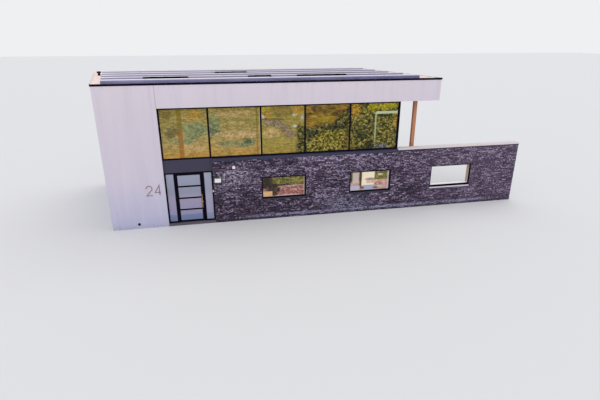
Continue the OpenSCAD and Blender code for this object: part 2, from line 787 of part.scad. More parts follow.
// A steel shoe that holds the post clear of the ground between two upright plates.
module post_shoe() color(metal) site() translate([post_x, post_y, 0]) {
    translate([-shoe_lip, -shoe_lip, 0]) cube([post_w + 2 * shoe_lip, post_w + 2 * shoe_lip, shoe_t]);
    translate([post_w / 2, post_w / 2, 0]) cylinder(r = post_w / 6, h = post_lift, $fn = 32);
    translate([-shoe_t, post_chamfer, post_lift - shoe_t])
        cube([post_w + 2 * shoe_t, post_w - 2 * post_chamfer, shoe_t]);
    for (x = [-shoe_t, post_w])
        translate([x, post_chamfer, post_lift - shoe_t])
            cube([shoe_t, post_w - 2 * post_chamfer, shoe_h]);
}

// A square plate with round corners, drawn about its middle.
module round_square(w, h, r) {
    square([w - 2 * r, h], center = true);
    square([w, h - 2 * r], center = true);
    for (x = [-1, 1], z = [-1, 1])
        translate([x * (w / 2 - r), z * (h / 2 - r)]) circle(r = r, $fn = 24);
}

// Draws an outline, given in X and Z, out from a face at y.
module out_from(y, depth) translate([0, y, 0]) rotate([90, 0, 0]) linear_extrude(depth) children();

// The lamp shines up and down: its box is open at both ends and stands on a smaller plate.
module wall_lamp() color([0.9, 0.9, 0.9]) site() translate([entry_r + lamp_gap, 0, lamp_z]) {
    inner = [lamp_w, lamp_d - lamp_plate, lamp_h] - 2 * lamp_rim * [1, 1, 1];
    translate([lamp_rim, -lamp_plate, lamp_rim]) cube([inner[0], lamp_plate, inner[2]]);
    translate([0, -lamp_d, 0]) difference() {
        cube([lamp_w, lamp_d - lamp_plate, lamp_h]);
        for (z = [-1, lamp_h - lamp_well])
            translate([lamp_rim, lamp_rim, z]) cube([inner[0], inner[1], lamp_well + 1]);
    }
}

module door_bell() color([0.8, 0.78, 0.76]) site() translate([entry_r - frame_bar / 2, 0, bell_z]) {
    out_from(glazing_recess, 12) round_square(40, 90, 6);
    out_from(glazing_recess, 16) circle(r = 12, $fn = 32);
}

module sensor_box() color([0.9, 0.9, 0.9]) site()
    translate([entry_r + box_gap + box_w / 2, 0, box_z + box_w / 2]) {
        out_from(0, box_d) round_square(box_w, box_w, 10);
        out_from(0, box_d + 6) circle(r = box_w / 4, $fn = 32);
    }

// A round louvred vent: a dished rim with four blades across it.
module wall_vent() color(dark) site() translate([entry_r - entry_w - vent_gap, 0, vent_z]) {
    out_from(0, 14) difference() {
        circle(r = vent_r, $fn = 48);
        circle(r = vent_r - 8, $fn = 48);
    }
    out_from(0, 3) circle(r = vent_r - 4, $fn = 48);
    for (i = [-1.5 : 1.5]) out_from(0, 11) intersection() {
        circle(r = vent_r - 4, $fn = 48);
        translate([0, i * vent_r / 2.6]) square([2 * vent_r, 7], center = true);
    }
}

ground_slab();
entry_step();
white_wall();
left_wall();
front_brick_wall();
right_brick_wall();
back_brick_wall();
back_white_wall();
first_floor();
entry_lintel();
sill_bands();
ribbon_frame();
ribbon_glass();
back_ribbon_frame();
back_ribbon_glass();
side_window_frame();
side_window_glass();
upper_side_wall();
ceiling();
roof_slab();
front_fascia();
side_fascia();
back_fascia();
roof_gravel();
roof_trim();
solar_panels();
solar_rails();
entry_frame();
spandrel_panel();
sidelight_glass();
front_door();
door_glass();
door_handle();
door_hinges();
door_hinge_leaves();
window_frames();
window_glass();
window_sills();
window_linings();
garden_wall();
wall_coping();
opening_sill();
opening_frame();
opening_lining();
terrace_post();
post_shoe();
wall_lamp();
door_bell();
sensor_box();
wall_vent();
roof_vent();
ballast_trays();
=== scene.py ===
"""Looks of the beach house: brickwork, render, glass with painted reflections, roof, fittings,
camera and light.
"""

import json
import math

import bpy
from mathutils import Matrix, Vector

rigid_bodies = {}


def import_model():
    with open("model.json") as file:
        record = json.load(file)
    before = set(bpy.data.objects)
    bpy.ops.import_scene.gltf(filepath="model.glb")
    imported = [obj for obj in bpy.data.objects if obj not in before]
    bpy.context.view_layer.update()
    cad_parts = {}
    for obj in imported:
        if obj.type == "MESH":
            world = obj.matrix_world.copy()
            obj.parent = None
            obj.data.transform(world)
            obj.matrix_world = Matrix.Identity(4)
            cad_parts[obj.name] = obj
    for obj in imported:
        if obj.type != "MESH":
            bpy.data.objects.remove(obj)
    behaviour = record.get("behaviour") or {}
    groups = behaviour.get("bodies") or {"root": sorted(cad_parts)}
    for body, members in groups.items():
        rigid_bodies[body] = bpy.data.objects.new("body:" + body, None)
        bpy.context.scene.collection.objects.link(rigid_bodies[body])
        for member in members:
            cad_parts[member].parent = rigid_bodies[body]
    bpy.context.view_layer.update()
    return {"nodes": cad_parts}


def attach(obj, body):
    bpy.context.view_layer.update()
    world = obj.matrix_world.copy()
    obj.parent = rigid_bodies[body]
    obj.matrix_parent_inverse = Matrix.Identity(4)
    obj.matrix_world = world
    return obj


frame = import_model()
nodes = frame["nodes"]

# Sizes of the house, in metres, set out from the left end of its front as in the plan.
SPLAY = math.radians(10.6)
LEAN = math.tan(SPLAY)
WHITE_W = 2.290
ENTRY_R = 4.290
HOUSE_W = 12.660
ROOF_W = 14.450
GARDEN_END = 18.890
DEPTH = 6.850
WALL = 0.300
BRICK_TOP = 2.800
GARDEN_TOP = 2.870
STOREY_Z = 2.910
CEILING_Z = 5.053
ROOF_Z = 5.969
GRAVEL_Z = 6.009
TRIM_IN = 0.030
WINDOW_W = 2.000
WINDOW_Z = (0.960, 1.970)
OPENING_X = (14.410, 16.490)
OPENING_Z = (0.910, 2.010)
OPENING_FOOT = 0.136
FRONT_WINDOWS = (6.360, 10.400)
BACK_WINDOWS = (2.810, 6.360, 10.400)
BRICK_L, BRICK_H = 0.2105, 0.0515
PITCH, COURSE = 0.2220, 0.0625
ORIGIN = Vector(((HOUSE_W - DEPTH * LEAN) / 2, DEPTH / 2, 0))

bpy.context.tool_settings.mesh_select_mode = (False, False, True)


# ---- Camera and light ----

def deselect_all():
    bpy.ops.object.select_all(action="DESELECT")


def set_camera():
    bpy.ops.object.camera_add(location=(-1.351, -21.425, 7.660),
                              rotation=(math.radians(69.48), 0, math.radians(-11.75)))
    camera = bpy.context.object
    camera.data.lens = 25.97
    camera.data.sensor_width = 36
    camera.data.clip_end = 500
    bpy.context.scene.camera = camera


def soft_lamp(name, place, spread, power):
    """A wide, soft lamp far off in the direction of a place, which lights all parts alike."""
    bpy.ops.object.light_add(type="SUN", location=place)
    lamp = bpy.context.object
    lamp.name = name
    lamp.data.angle = math.radians(spread)
    lamp.data.energy = power
    lamp.rotation_euler = (-Vector(place)).to_track_quat("-Z", "Y").to_euler()


def set_light():
    """A white backdrop for the camera and for metal and glass, plain light, and two soft lamps."""
    world = bpy.data.worlds.new("studio")
    bpy.context.scene.world = world
    world.use_nodes = True
    tree = world.node_tree
    tree.nodes.clear()
    kinds = ("Background", "Background", "LightPath", "Math", "Math", "MixShader", "OutputWorld")
    seen, light, rays, glossy, clear, blend, out = (
        tree.nodes.new("ShaderNode" + kind) for kind in kinds)
    seen.inputs["Color"].default_value = (0.86, 0.87, 0.89, 1)
    light.inputs["Color"].default_value = (0.97, 0.98, 1.0, 1)
    light.inputs["Strength"].default_value = 0.74
    glossy.operation = clear.operation = "MAXIMUM"
    for start, end in ((rays.outputs["Is Camera Ray"], glossy.inputs[0]),
                       (rays.outputs["Is Glossy Ray"], glossy.inputs[1]),
                       (glossy.outputs[0], clear.inputs[0]),
                       (rays.outputs["Is Transmission Ray"], clear.inputs[1]),
                       (clear.outputs[0], blend.inputs[0]),
                       (light.outputs[0], blend.inputs[1]),
                       (seen.outputs[0], blend.inputs[2]),
                       (blend.outputs[0], out.inputs["Surface"])):
        tree.links.new(start, end)
    soft_lamp("key", (-14, -34, 26), 40, 1.17)
    soft_lamp("top", (16, 10, 34), 50, 0.66)


deselect_all()
set_camera()
set_light()
bpy.context.scene.view_settings.view_transform = "Standard"


# ---- Materials ----

def rgb(red, green, blue):
    """A colour as seen on screen, from 0 to 255, as the renderer's linear one."""
    def linear(value):
        value /= 255
        return value / 12.92 if value <= 0.04045 else ((value + 0.055) / 1.055) ** 2.4
    return (linear(red), linear(green), linear(blue), 1.0)


class Value:
    """A shader socket. Arithmetic on it adds the Math nodes."""

    def __init__(self, finish, socket):
        self.finish, self.socket = finish, socket

    def _math(self, operation, *inputs):
        return self.finish.node("Math", {"operation": operation}, dict(enumerate(inputs)))

    def __add__(self, other): return self._math("ADD", self, other)
    def __sub__(self, other): return self._math("SUBTRACT", self, other)
    def __mul__(self, other): return self._math("MULTIPLY", self, other)
    def __truediv__(self, other): return self._math("DIVIDE", self, other)
    def __mod__(self, other): return self._math("FLOORED_MODULO", self, other)
    def __lt__(self, other): return self._math("LESS_THAN", self, other)
    def __gt__(self, other): return self._math("GREATER_THAN", self, other)
    def __radd__(self, other): return self._math("ADD", other, self)
    def __rsub__(self, other): return self._math("SUBTRACT", other, self)
    def __rmul__(self, other): return self._math("MULTIPLY", other, self)
    def __abs__(self): return self._math("ABSOLUTE", self)
    def floor(self): return self._math("FLOOR", self)
    def most(self, other): return self._math("MAXIMUM", self, other)

    def rise(self, low, high, top=1.0):
        """0 below low, top above high, and a smooth rise between them."""
        return self.finish.node(
            "MapRange", {"interpolation_type": "SMOOTHSTEP", "clamp": True},
            {"Value": self, "From Min": low, "From Max": high, "To Min": 0.0, "To Max": top})

    def fall(self, low, high):
        """1 below low, 0 above high, and a smooth fall between them."""
        return 1 - self.rise(low, high)

    def span(self, start, full, last, end):
        """1 between full and last, and 0 before start and after end."""
        return self.rise(start, full) * self.fall(last, end)

    def between(self, low, high):
        """1 between low and high, with sharp edges."""
        return (self > low) * (self < high)

    def near(self, middle, width):
        """1 at the middle, falling to 0 at a width away."""
        return abs(self - middle).fall(0, width)


class Finish:
    """A procedural material. Its patterns read object coordinates in the plan's metres.

    Colours are given as seen on screen, from 0 to 255.
    """

    def __init__(self, name, roughness=0.5, **constants):
        self.material = bpy.data.materials.new(name)
        self.material.use_nodes = True
        self.tree = self.material.node_tree
        self.tree.nodes.clear()
        self.out = self.tree.nodes.new("ShaderNodeOutputMaterial")
        self.shader = self.node("BsdfPrincipled")
        self.feed(self.out.inputs["Surface"], self.shader)
        self.put("Roughness", roughness)
        for name, value in constants.items():
            self.put(name.replace("_", " "), value)
        self.place = self.node("TexCoord", output="Object")
        x, y, self.z = self.parts(self.place)
        self.x, self.y = x + ORIGIN.x, y + ORIGIN.y
        self.relief = None

    def feed(self, socket, value):
        """Links a value to a socket, or sets it there."""
        if isinstance(value, Value):
            self.tree.links.new(value.socket, socket)
        else:
            socket.default_value = rgb(*value) if socket.type == "RGBA" else value

    def node(self, kind, settings=None, inputs=None, output=0):
        """One output of a new node, which gets its settings first and then its inputs."""
        made = self.tree.nodes.new("ShaderNode" + kind)
        for name, value in (settings or {}).items():
            if name == "stops":
                ramp = made.color_ramp
                while len(ramp.elements) < len(value):
                    ramp.elements.new(0.5)
                for stop, (at, *colour) in zip(ramp.elements, value):
                    stop.position, stop.color = at, rgb(*colour)
            else:
                setattr(made, name, value)
        for name, value in (inputs or {}).items():
            self.feed(made.inputs[name], value)
        return Value(self, made.outputs[output])

    def parts(self, vector):
        """The three numbers of a vector."""
        made = self.node("SeparateXYZ", None, {0: vector}).socket.node
        return [Value(self, part) for part in made.outputs]

    def vector(self, x, y, z):
        return self.node("CombineXYZ", None, {0: x, 1: y, 2: z})

    def noise(self, at, detail=3.0, rough=0.55, twist=0.0):
        """Clouds over the piece at one scale, or at one for each axis, or over another vector."""
        if not isinstance(at, Value):
            scale = at if isinstance(at, tuple) else (at, at, at)
            at = self.node("Mapping", None, {"Vector": self.place, "Scale": scale})
        return self.node("TexNoise", None, {"Vector": at, "Scale": 1.0, "Detail": detail,
                                            "Roughness": rough, "Distortion": twist}, "Fac")

    def chance(self, x, y, z):
        """A number between 0 and 1 that looks drawn at random for each x, y and z."""
        return self.node("TexWhiteNoise", {"noise_dimensions": "3D"},
                         {"Vector": self.vector(x, y, z)}, "Value")

    def cells(self, scale, output="Distance"):
        return self.node("TexVoronoi", None, {"Vector": self.place, "Scale": scale}, output)

    def ramp(self, value, *stops):
        return self.node("ValToRGB", {"stops": stops}, {"Fac": value}, "Color")

    def mix(self, share, first, second):
        return self.node("Mix", {"data_type": "RGBA"}, {0: share, 6: first, 7: second}, 2)

    def over(self, tint, *layers):
        """Lays tones over a tint one after another, each by its share."""
        for share, tone in layers:
            tint = self.mix(share, tint, tone)
        return tint

    def put(self, name, value):
        self.feed(self.shader.socket.node.inputs[name], value)
        return self

    def colour(self, value):
        return self.put("Base Color", value)

    def bump(self, height, depth):
        """Raises the surface by height times depth, in metres, over what it already has."""
        inputs = {"Height": height, "Distance": depth, "Strength": 1.0}
        if self.relief:
            inputs["Normal"] = self.relief
        self.relief = self.node("Bump", None, inputs)
        return self.put("Normal", self.relief)

    def see_through(self, share):
        """Lets a share of the light straight through."""
        clear = self.node("BsdfTransparent")
        blend = self.node("MixShader", None, {0: share, 1: self.shader, 2: clear})
        self.feed(self.out.inputs["Surface"], blend)
        return self


def room(f):
    """1 on the surfaces that face the rooms, 0 on the outside of the house."""
    along, skin = f.x + f.y * LEAN, WALL - 0.004
    return (along.between(skin, HOUSE_W - skin) * f.y.between(skin, DEPTH - skin)
            * (f.z < CEILING_Z + 0.02))


def plaster(f, outside):
    """Painted plaster in the rooms, and the given colour outside."""
    return f.mix(room(f), outside, f.mix(f.noise(2.2), (226, 222, 216), (236, 233, 228)))


def render_finish():
    """Smooth off-white render with faint runs under the roof trim, and painted shade that makes it
    darker and bluer towards the ground.
    """
    f = Finish("off_white_render", 0.72, Specular_IOR_Level=0.3)
    runs = f.noise((2.6, 2.6, 0.16), 4.0, 0.62, 0.2)
    clouds = f.noise((0.6, 0.6, 0.45), 3.0, 0.6)
    joint = f.x.near(WHITE_W + 0.003, 0.035) * f.z.rise(CEILING_Z - 0.1, CEILING_Z + 0.05)
    under_trim = f.z.rise(ROOF_Z - 0.30, ROOF_Z) * f.noise((5, 5, 0.5), 4.0, 0.7).rise(0.48, 0.72)
    splash = f.z.fall(0.0, 0.28) * f.noise((9, 9, 14), 4.0).rise(0.40, 0.65)
    tint = f.over(
        # The ramp paints shade: darker and bluer towards the ground.
        f.ramp((f.z + clouds * 0.8 - 0.4) / 6, (0.0, 168, 169, 197), (0.10, 180, 178, 202),
               (0.35, 197, 190, 206), (0.75, 203, 194, 206), (1.0, 209, 199, 210)),
        (runs.rise(0.46, 0.74) * 0.30, (184, 174, 190)),
        ((1 - runs).rise(0.50, 0.74) * 0.25, (216, 204, 210)),
        (joint * 0.45, (150, 142, 156)),
        (under_trim * 0.22, (166, 158, 174)),
        (splash * 0.45, (134, 124, 140)))
    f.colour(plaster(f, tint))
    return f.bump(f.noise(330, 2.0), 0.0012).bump(f.noise((5.5, 5.5, 3.3)), 0.003)


def brick_colour(f, along):
    """Tone of each brick, found from its place in the bond, with pale bloom on some of them."""
    def cloud(across, up, detail, rough):
        return f.noise(f.vector(along * across, f.y * across, f.z * up), detail, rough)

    row = (f.z / COURSE).floor()
    shift = (row % 2) * 0.5 + ((row / 2).floor() % 2) * 0.25
    column = (along / PITCH - shift).floor()
    broad, grain = cloud(0.7, 1.2, 5.0, 0.65), cloud(10, 20, 2.0, 0.7)
    tone = f.chance(column, row, 1.0) * 0.70 + (broad - 0.5) + (grain - 0.5) * 3.5 + 0.02
    # Paler to the right and higher up, darker low on the wall and near the ground, and a painted
    # shadow low on the garden wall.
    tone = (tone + f.x.rise(5.5, 9.5) * 0.08 + f.x.rise(12.0, 17.0) * 0.09
            + f.x.rise(6.8, 8.8) * (f.z.rise(1.8, 2.5) * 0.09
                                    + f.z.rise(1.0, 1.6) * f.x.fall(11.5, 13.0) * 0.05)
            - f.z.fall(0.3, 1.2) * 0.04 - f.z.fall(0.06, 0.16) * 0.12
            # Painted shadow low on the wall round x = 13.5.
            - f.x.near(13.5, 1.3) * f.z.near(0.85, 0.6) * 0.16
            - f.x.fall(6.5, 7.5) * f.z.fall(0.8, 1.3) * 0.06
            - f.x.rise(15.5, 16.5) * f.z.fall(0.3, 0.8) * 0.10)
    # More even on the garden wall.
    tone = tone + (0.56 - tone) * (f.x.rise(12.7, 14.5) * 0.22)
    coping_shade = (f.x > 12.67) * f.z.rise(2.80, 2.83) * 0.85
    base = f.over(
        f.ramp(tone, (0.0, 12, 4, 20), (0.28, 40, 29, 50), (0.56, 78, 64, 87),
               (0.82, 120, 105, 130), (1.0, 172, 160, 182)),
        ((f.chance(column, row, 7.0) > 0.88) * 0.35, (74, 50, 62)),
        (f.x.rise(12.8, 16.0) * 0.14, (102, 86, 106)),
        (cloud(30, 50, 3.0, 0.7).rise(0.50, 0.75) * 0.35, (118, 106, 128)),
        (coping_shade, (34, 22, 44)))
    # Salts left by water: flecks beside the entry, a line of them low on the wall, and a few more.
    fleck = cloud(7, 14, 3.0, 0.75) + (broad - 0.5) * 0.25
    amount = fleck.rise(0.62, 0.70) * 0.35
    for where, share, least in (
            (along.span(4.35, 4.6, 5.5, 6.2) * f.z.span(1.5, 1.8, 2.3, 2.5), 0.95, 0.49),
            (f.z.near(0.17, 0.10) * along.span(5.0, 6.8, 17.0, 18.0), 0.95, 0.41),
            (f.z.near(0.45, 0.55) * along.near(10.3, 1.5), 1.0, 0.44)):
        amount = amount.most(where * fleck.rise(least, least + 0.12) * share)
    return f.mix(amount, base, f.mix(f.z.rise(0.6, 1.4), (148, 148, 178), (182, 172, 192)))


def brick_finish(name, origin, turn):
    """Brick faces laid from an origin, along a direction turned from that of the front."""
    f = Finish(name, 0.82, Specular_IOR_Level=0.2)
    along = (f.x - origin[0]) * math.cos(turn) + (f.y - origin[1]) * math.sin(turn)
    f.colour(brick_colour(f, along))
    return f.bump(f.noise(150, 4.0, 0.7), 0.0025).bump(f.noise((22, 22, 60)), 0.004)


def wall_finish():
    """The wall that carries the brick faces: grey mortar outside, plaster in the rooms."""
    f = Finish("brick_wall_core", 0.85)
    sand = f.noise(90, 4.0, 0.7)
    pale = f.noise((1.4, 1.4, 2.4)).rise(0.45, 0.75) * 0.4
    f.colour(plaster(f, f.mix(pale, f.mix(sand, (44, 37, 50), (80, 71, 88)), (104, 95, 112))))
    return f.bump(sand, 0.002)


def coat_finish(name, dark, light, roughness, fleck=0.5, gloss=0.3, dusty=0.10):
    """Powder coat: a fine orange peel, dulled in soft patches, with thin streaks of dust."""
    f = Finish(name, roughness, Specular_IOR_Level=gloss)
    wear = f.noise((1.3, 1.3, 2.0), 5.0, 0.6)
    dust = f.noise((40, 40, 9), 3.0, 0.6).rise(0.55, 0.8)
    f.colour(f.mix(dust * dusty, f.mix(wear * fleck, dark, light), (132, 126, 138)))
    f.put("Roughness", roughness + wear * 0.18 - 0.08)
    return f.bump(f.noise(520, 2.0), 0.0004)


def trim_finish():
    """The roof trim's dark coat, hidden by pale dust from the gravel inside the left verge."""
    f = Finish("dark_roof_trim", 0.5, Specular_IOR_Level=0.05)
    verge = (f.x + f.y * LEAN).between(-0.016, 0.10) * (f.y > 0.045) * (f.z > ROOF_Z)
    dark = f.mix(f.noise((1.3, 1.3, 2.0), 5.0), (4, 2, 12), (14, 10, 28))
    f.colour(f.mix(verge * 0.95, dark, f.mix(f.noise(60), (214, 192, 190), (244, 228, 224))))
    return f.bump(f.noise(520, 2.0), 0.0004)


def ovals(f, tint, t, ragged, shapes):
    """Lays ragged ovals over a tint. Each has its middle in x and t, half sizes, tone and share."""
    for x, middle, wide, high, tone, share in shapes:
        across, up = (f.x - x) / wide, (t - middle) / high
        reach = across * across + up * up + ragged
        tint = f.mix(reach.fall(0.40, 1.20) * share, tint, tone)
    return tint


def ribbon_glass_finish():
    """Glass over the front, its colour a painted reflection in gold and olive, darker and finer to
    the right.
    """
    f = Finish("front_glass_painted_reflection", 0.08, Specular_IOR_Level=0.2)
    t = (f.z - STOREY_Z) / (CEILING_Z - STOREY_Z)
    drift = f.noise((0.8, 0.8, 1.5), 5.0, 0.62, 0.4)
    grain = f.noise((5, 5, 14), 4.0, 0.74)
    fine = f.noise((12, 12, 26), 4.0, 0.76)
    swirl = f.noise((1.8, 1.8, 7), 3.0, 0.65, 0.5)
    mottle = f.noise((9, 9, 11), 4.0, 0.76, 0.3)
    ragged = (f.noise((3.2, 3.2, 6.5), 5.0, 0.68, 0.3) - 0.5) * 4.0

    def mottled(dark, light, low=0.40, high=0.60):
        return f.mix(mottle.rise(low, high), dark, light)

    gold = mottled((122, 88, 12), (196, 150, 48))
    bright = mottled((128, 122, 10), (192, 174, 24))
    tan = mottled((146, 118, 70), (222, 186, 136), 0.38, 0.62)
    teal = mottled((70, 92, 66), (142, 156, 112), 0.38, 0.62)
    brown = mottled((52, 34, 14), (112, 84, 40))
    mauve = mottled((96, 74, 66), (146, 126, 112))
    deep = mottled((10, 14, 8), (54, 62, 40), 0.40, 0.62)
    slate = mottled((58, 62, 78), (120, 128, 148))
    pale = mottled((140, 140, 120), (206, 206, 190), 0.42, 0.56)
    third_bay = f.mix(
        swirl.rise(0.42, 0.58), f.mix(grain.rise(0.42, 0.58), (132, 112, 26), (176, 152, 62)),
        f.mix(grain.rise(0.42, 0.58), (118, 112, 36), (160, 150, 74)))
    tint = f.over(
        f.ramp(t + (drift - 0.5) * 0.5, (0.0, 186, 132, 44), (0.10, 186, 140, 62),
               (0.28, 168, 142, 82), (0.50, 152, 136, 78), (0.78, 142, 126, 62),
               (1.0, 132, 114, 40)),
        (swirl.rise(0.50, 0.62) * 0.50, (118, 114, 52)),
        ((1 - swirl).rise(0.52, 0.64) * 0.45, (196, 160, 100)),
        (grain.rise(0.48, 0.64) * 0.55, (96, 90, 34)),
        ((1 - grain).rise(0.50, 0.66) * 0.45, (206, 178, 112)),
        (f.x.between(6.42, 8.33) * 0.75, third_bay))
    tint = ovals(f, tint, t, ragged, (
        (2.55, 0.90, 0.30, 0.12, brown, 0.45), (3.75, 0.86, 0.34, 0.09, gold, 0.60),
        (2.82, 0.52, 0.34, 0.11, deep, 0.60), (3.70, 0.57, 0.62, 0.15, teal, 0.80),
        (3.28, 0.37, 0.60, 0.08, teal, 0.75), (3.60, 0.20, 0.60, 0.09, tan, 0.60),
        (4.48, 0.62, 0.26, 0.26, teal, 0.80), (4.45, 0.55, 0.16, 0.10, deep, 0.45),
        (5.50, 0.85, 0.90, 0.06, tan, 0.50), (5.45, 0.44, 0.95, 0.08, tan, 0.70),
        (5.15, 0.26, 0.60, 0.07, teal, 0.70), (5.80, 0.27, 0.34, 0.10, teal, 0.90),
        (5.82, 0.31, 0.20, 0.05, deep, 0.55), (6.62, 0.95, 0.26, 0.08, bright, 0.85),
        (6.68, 0.80, 0.26, 0.09, gold, 0.80), (6.72, 0.64, 0.20, 0.06, mauve, 0.90),
        (7.30, 0.88, 0.55, 0.14, brown, 0.45), (7.15, 0.64, 0.36, 0.08, mauve, 0.85),
        (7.45, 0.53, 0.32, 0.10, mauve, 0.90), (7.70, 0.41, 0.30, 0.10, mauve, 0.80),
        (6.85, 0.44, 0.45, 0.10, tan, 0.70), (8.06, 0.90, 0.26, 0.11, gold, 0.75),
        (6.50, 0.77, 0.09, 0.05, pale, 0.90), (8.22, 0.73, 0.11, 0.07, pale, 0.80),
        (7.90, 0.57, 0.16, 0.025, pale, 0.75), (7.88, 0.79, 0.13, 0.025, pale, 0.60),
        (6.90, 0.72, 0.50, 0.02, brown, 0.70)))
    # Brown bars and a pale line, painted into the reflection.
    bars = (f.x.span(2.99, 3.04, 3.19, 3.23) * 0.72).most(f.x.near(6.26, 0.06) * 0.8)
    # Painted reflection over the fourth bay: gold, with brown streaks.
    top = f.x.span(8.25, 8.35, 10.3, 10.6)
    streaks = f.ramp(f.noise((2.6, 2.6, 8), 5.0, 0.74), (0.38, 48, 36, 12), (0.47, 120, 92, 26),
                     (0.56, 168, 124, 38), (0.68, 198, 156, 84))
    # Painted reflection to the right: a darker, finer mottle, and a brighter mound in it.
    clump = f.noise((1.5, 1.5, 2.2), 4.0, 0.62)
    reach = (f.x + clump * 0.3).rise(8.02, 8.20) * (
        t + (clump - 0.5) * 0.5 - f.x.rise(9.4, 11.0, 0.62)).fall(0.53, 0.61)
    across, up = (f.x - 9.50) / 1.05, (t - 0.02) / 0.52
    mound = (across * across + up * up + ragged * 0.35).fall(0.85, 1.05)
    light = mound.most(f.x.rise(10.2, 10.6) * clump.rise(0.40, 0.58, 0.7))
    dim = f.ramp(mottle, (0.41, 10, 12, 2), (0.49, 58, 58, 24), (0.56, 104, 99, 46),
                 (0.66, 168, 156, 84))
    lit = f.ramp(mottle, (0.40, 10, 10, 0), (0.47, 74, 70, 16), (0.54, 136, 126, 42),
                 (0.65, 190, 174, 96))
    tint = f.over(
        tint,
        (fine.rise(0.50, 0.62) * 0.40, (98, 96, 48)),
        ((1 - fine).rise(0.52, 0.64) * 0.35, (208, 188, 132)),
        (bars * mottle.rise(0.30, 0.46), f.mix(t.rise(0.45, 0.72), (146, 90, 14), (112, 94, 4))),
        (f.x.near(6.385, 0.030) * 0.85, (200, 204, 170)),
        (top * 0.9, streaks),
        (top * (mottle * 0.5 + grain * 0.5).rise(0.50, 0.60) * 0.45, (104, 100, 34)),
        (reach * 0.96, f.mix(light, dim, lit)))
    tint = ovals(f, tint, t, ragged, (
        (8.85, 0.90, 0.24, 0.08, brown, 0.85), (9.25, 0.88, 0.24, 0.12, deep, 0.40),
        (9.20, 0.68, 0.40, 0.06, bright, 0.45), (9.97, 0.83, 0.34, 0.03, brown, 0.80),
        (9.62, 0.51, 0.60, 0.05, deep, 0.90), (8.70, 0.42, 0.34, 0.06, deep, 0.85),
        (10.20, 0.20, 0.14, 0.22, brown, 0.70), (10.60, 0.84, 0.24, 0.16, gold, 0.80),
        (11.35, 0.90, 0.24, 0.09, bright, 0.75), (12.10, 0.92, 0.55, 0.11, bright, 0.80),
        (10.95, 0.33, 0.26, 0.10, deep, 0.85), (11.32, 0.10, 0.24, 0.13, deep, 0.85),
        (12.46, 0.58, 0.08, 0.20, gold, 0.60), (11.85, 0.08, 0.42, 0.05, slate, 0.65)))
    # Painted reflection across the last bay: a pale line like the edge of a frame, and painted
    # shade under it.
    reflected_pale_edge = (t.span(0.748, 0.762, 0.798, 0.812) * (f.x > 11.55)).most(
        f.x.near(11.54, 0.06) * t.span(0.10, 0.30, 0.78, 0.82) * 0.8)
    f.colour(f.over(
        tint,
        (f.x.between(11.62, 12.30) * t.near(0.715, 0.045) * 0.75, (36, 42, 34)),
        (reflected_pale_edge * 0.92, (186, 198, 156))))
    return f.bump(f.noise(0.7, 1.0), 0.004).see_through(0.06)


def rear_painted_reflection(f):
    """A painted reflection for glass on the sides away from the front: gold and olive, in drifts.
    """
    drift = f.noise((0.9, 0.9, 1.6), 5.0, 0.66, 0.5)
    grain = f.noise((5, 5, 13), 4.0, 0.74)
    mottle = f.noise((9, 9, 11), 4.0, 0.76, 0.3)
    clumps = f.noise((0.8, 0.8, 1.3), 4.0, 0.60, 0.3) + (mottle - 0.5) * 0.2
    return f.over(
        f.ramp(drift + (grain - 0.5) * 0.3, (0.30, 170, 122, 46), (0.44, 160, 132, 70),
               (0.54, 134, 124, 58), (0.66, 150, 138, 84)),
        (grain.rise(0.48, 0.64) * 0.5, (98, 92, 36)),
        ((1 - grain).rise(0.50, 0.66) * 0.45, (202, 172, 108)),
        (clumps.rise(0.50, 0.62) * 0.75,
         f.ramp(mottle, (0.40, 14, 16, 4), (0.49, 66, 62, 22), (0.58, 114, 106, 44),
                (0.70, 168, 154, 82))))


def side_glass_finish():
    """Glass of the side and the back, with a painted reflection."""
    f = Finish("side_glass_painted_reflection", 0.08, Specular_IOR_Level=0.3)
    return f.colour(rear_painted_reflection(f)).bump(f.noise(0.7, 1.0), 0.004).see_through(0.12)


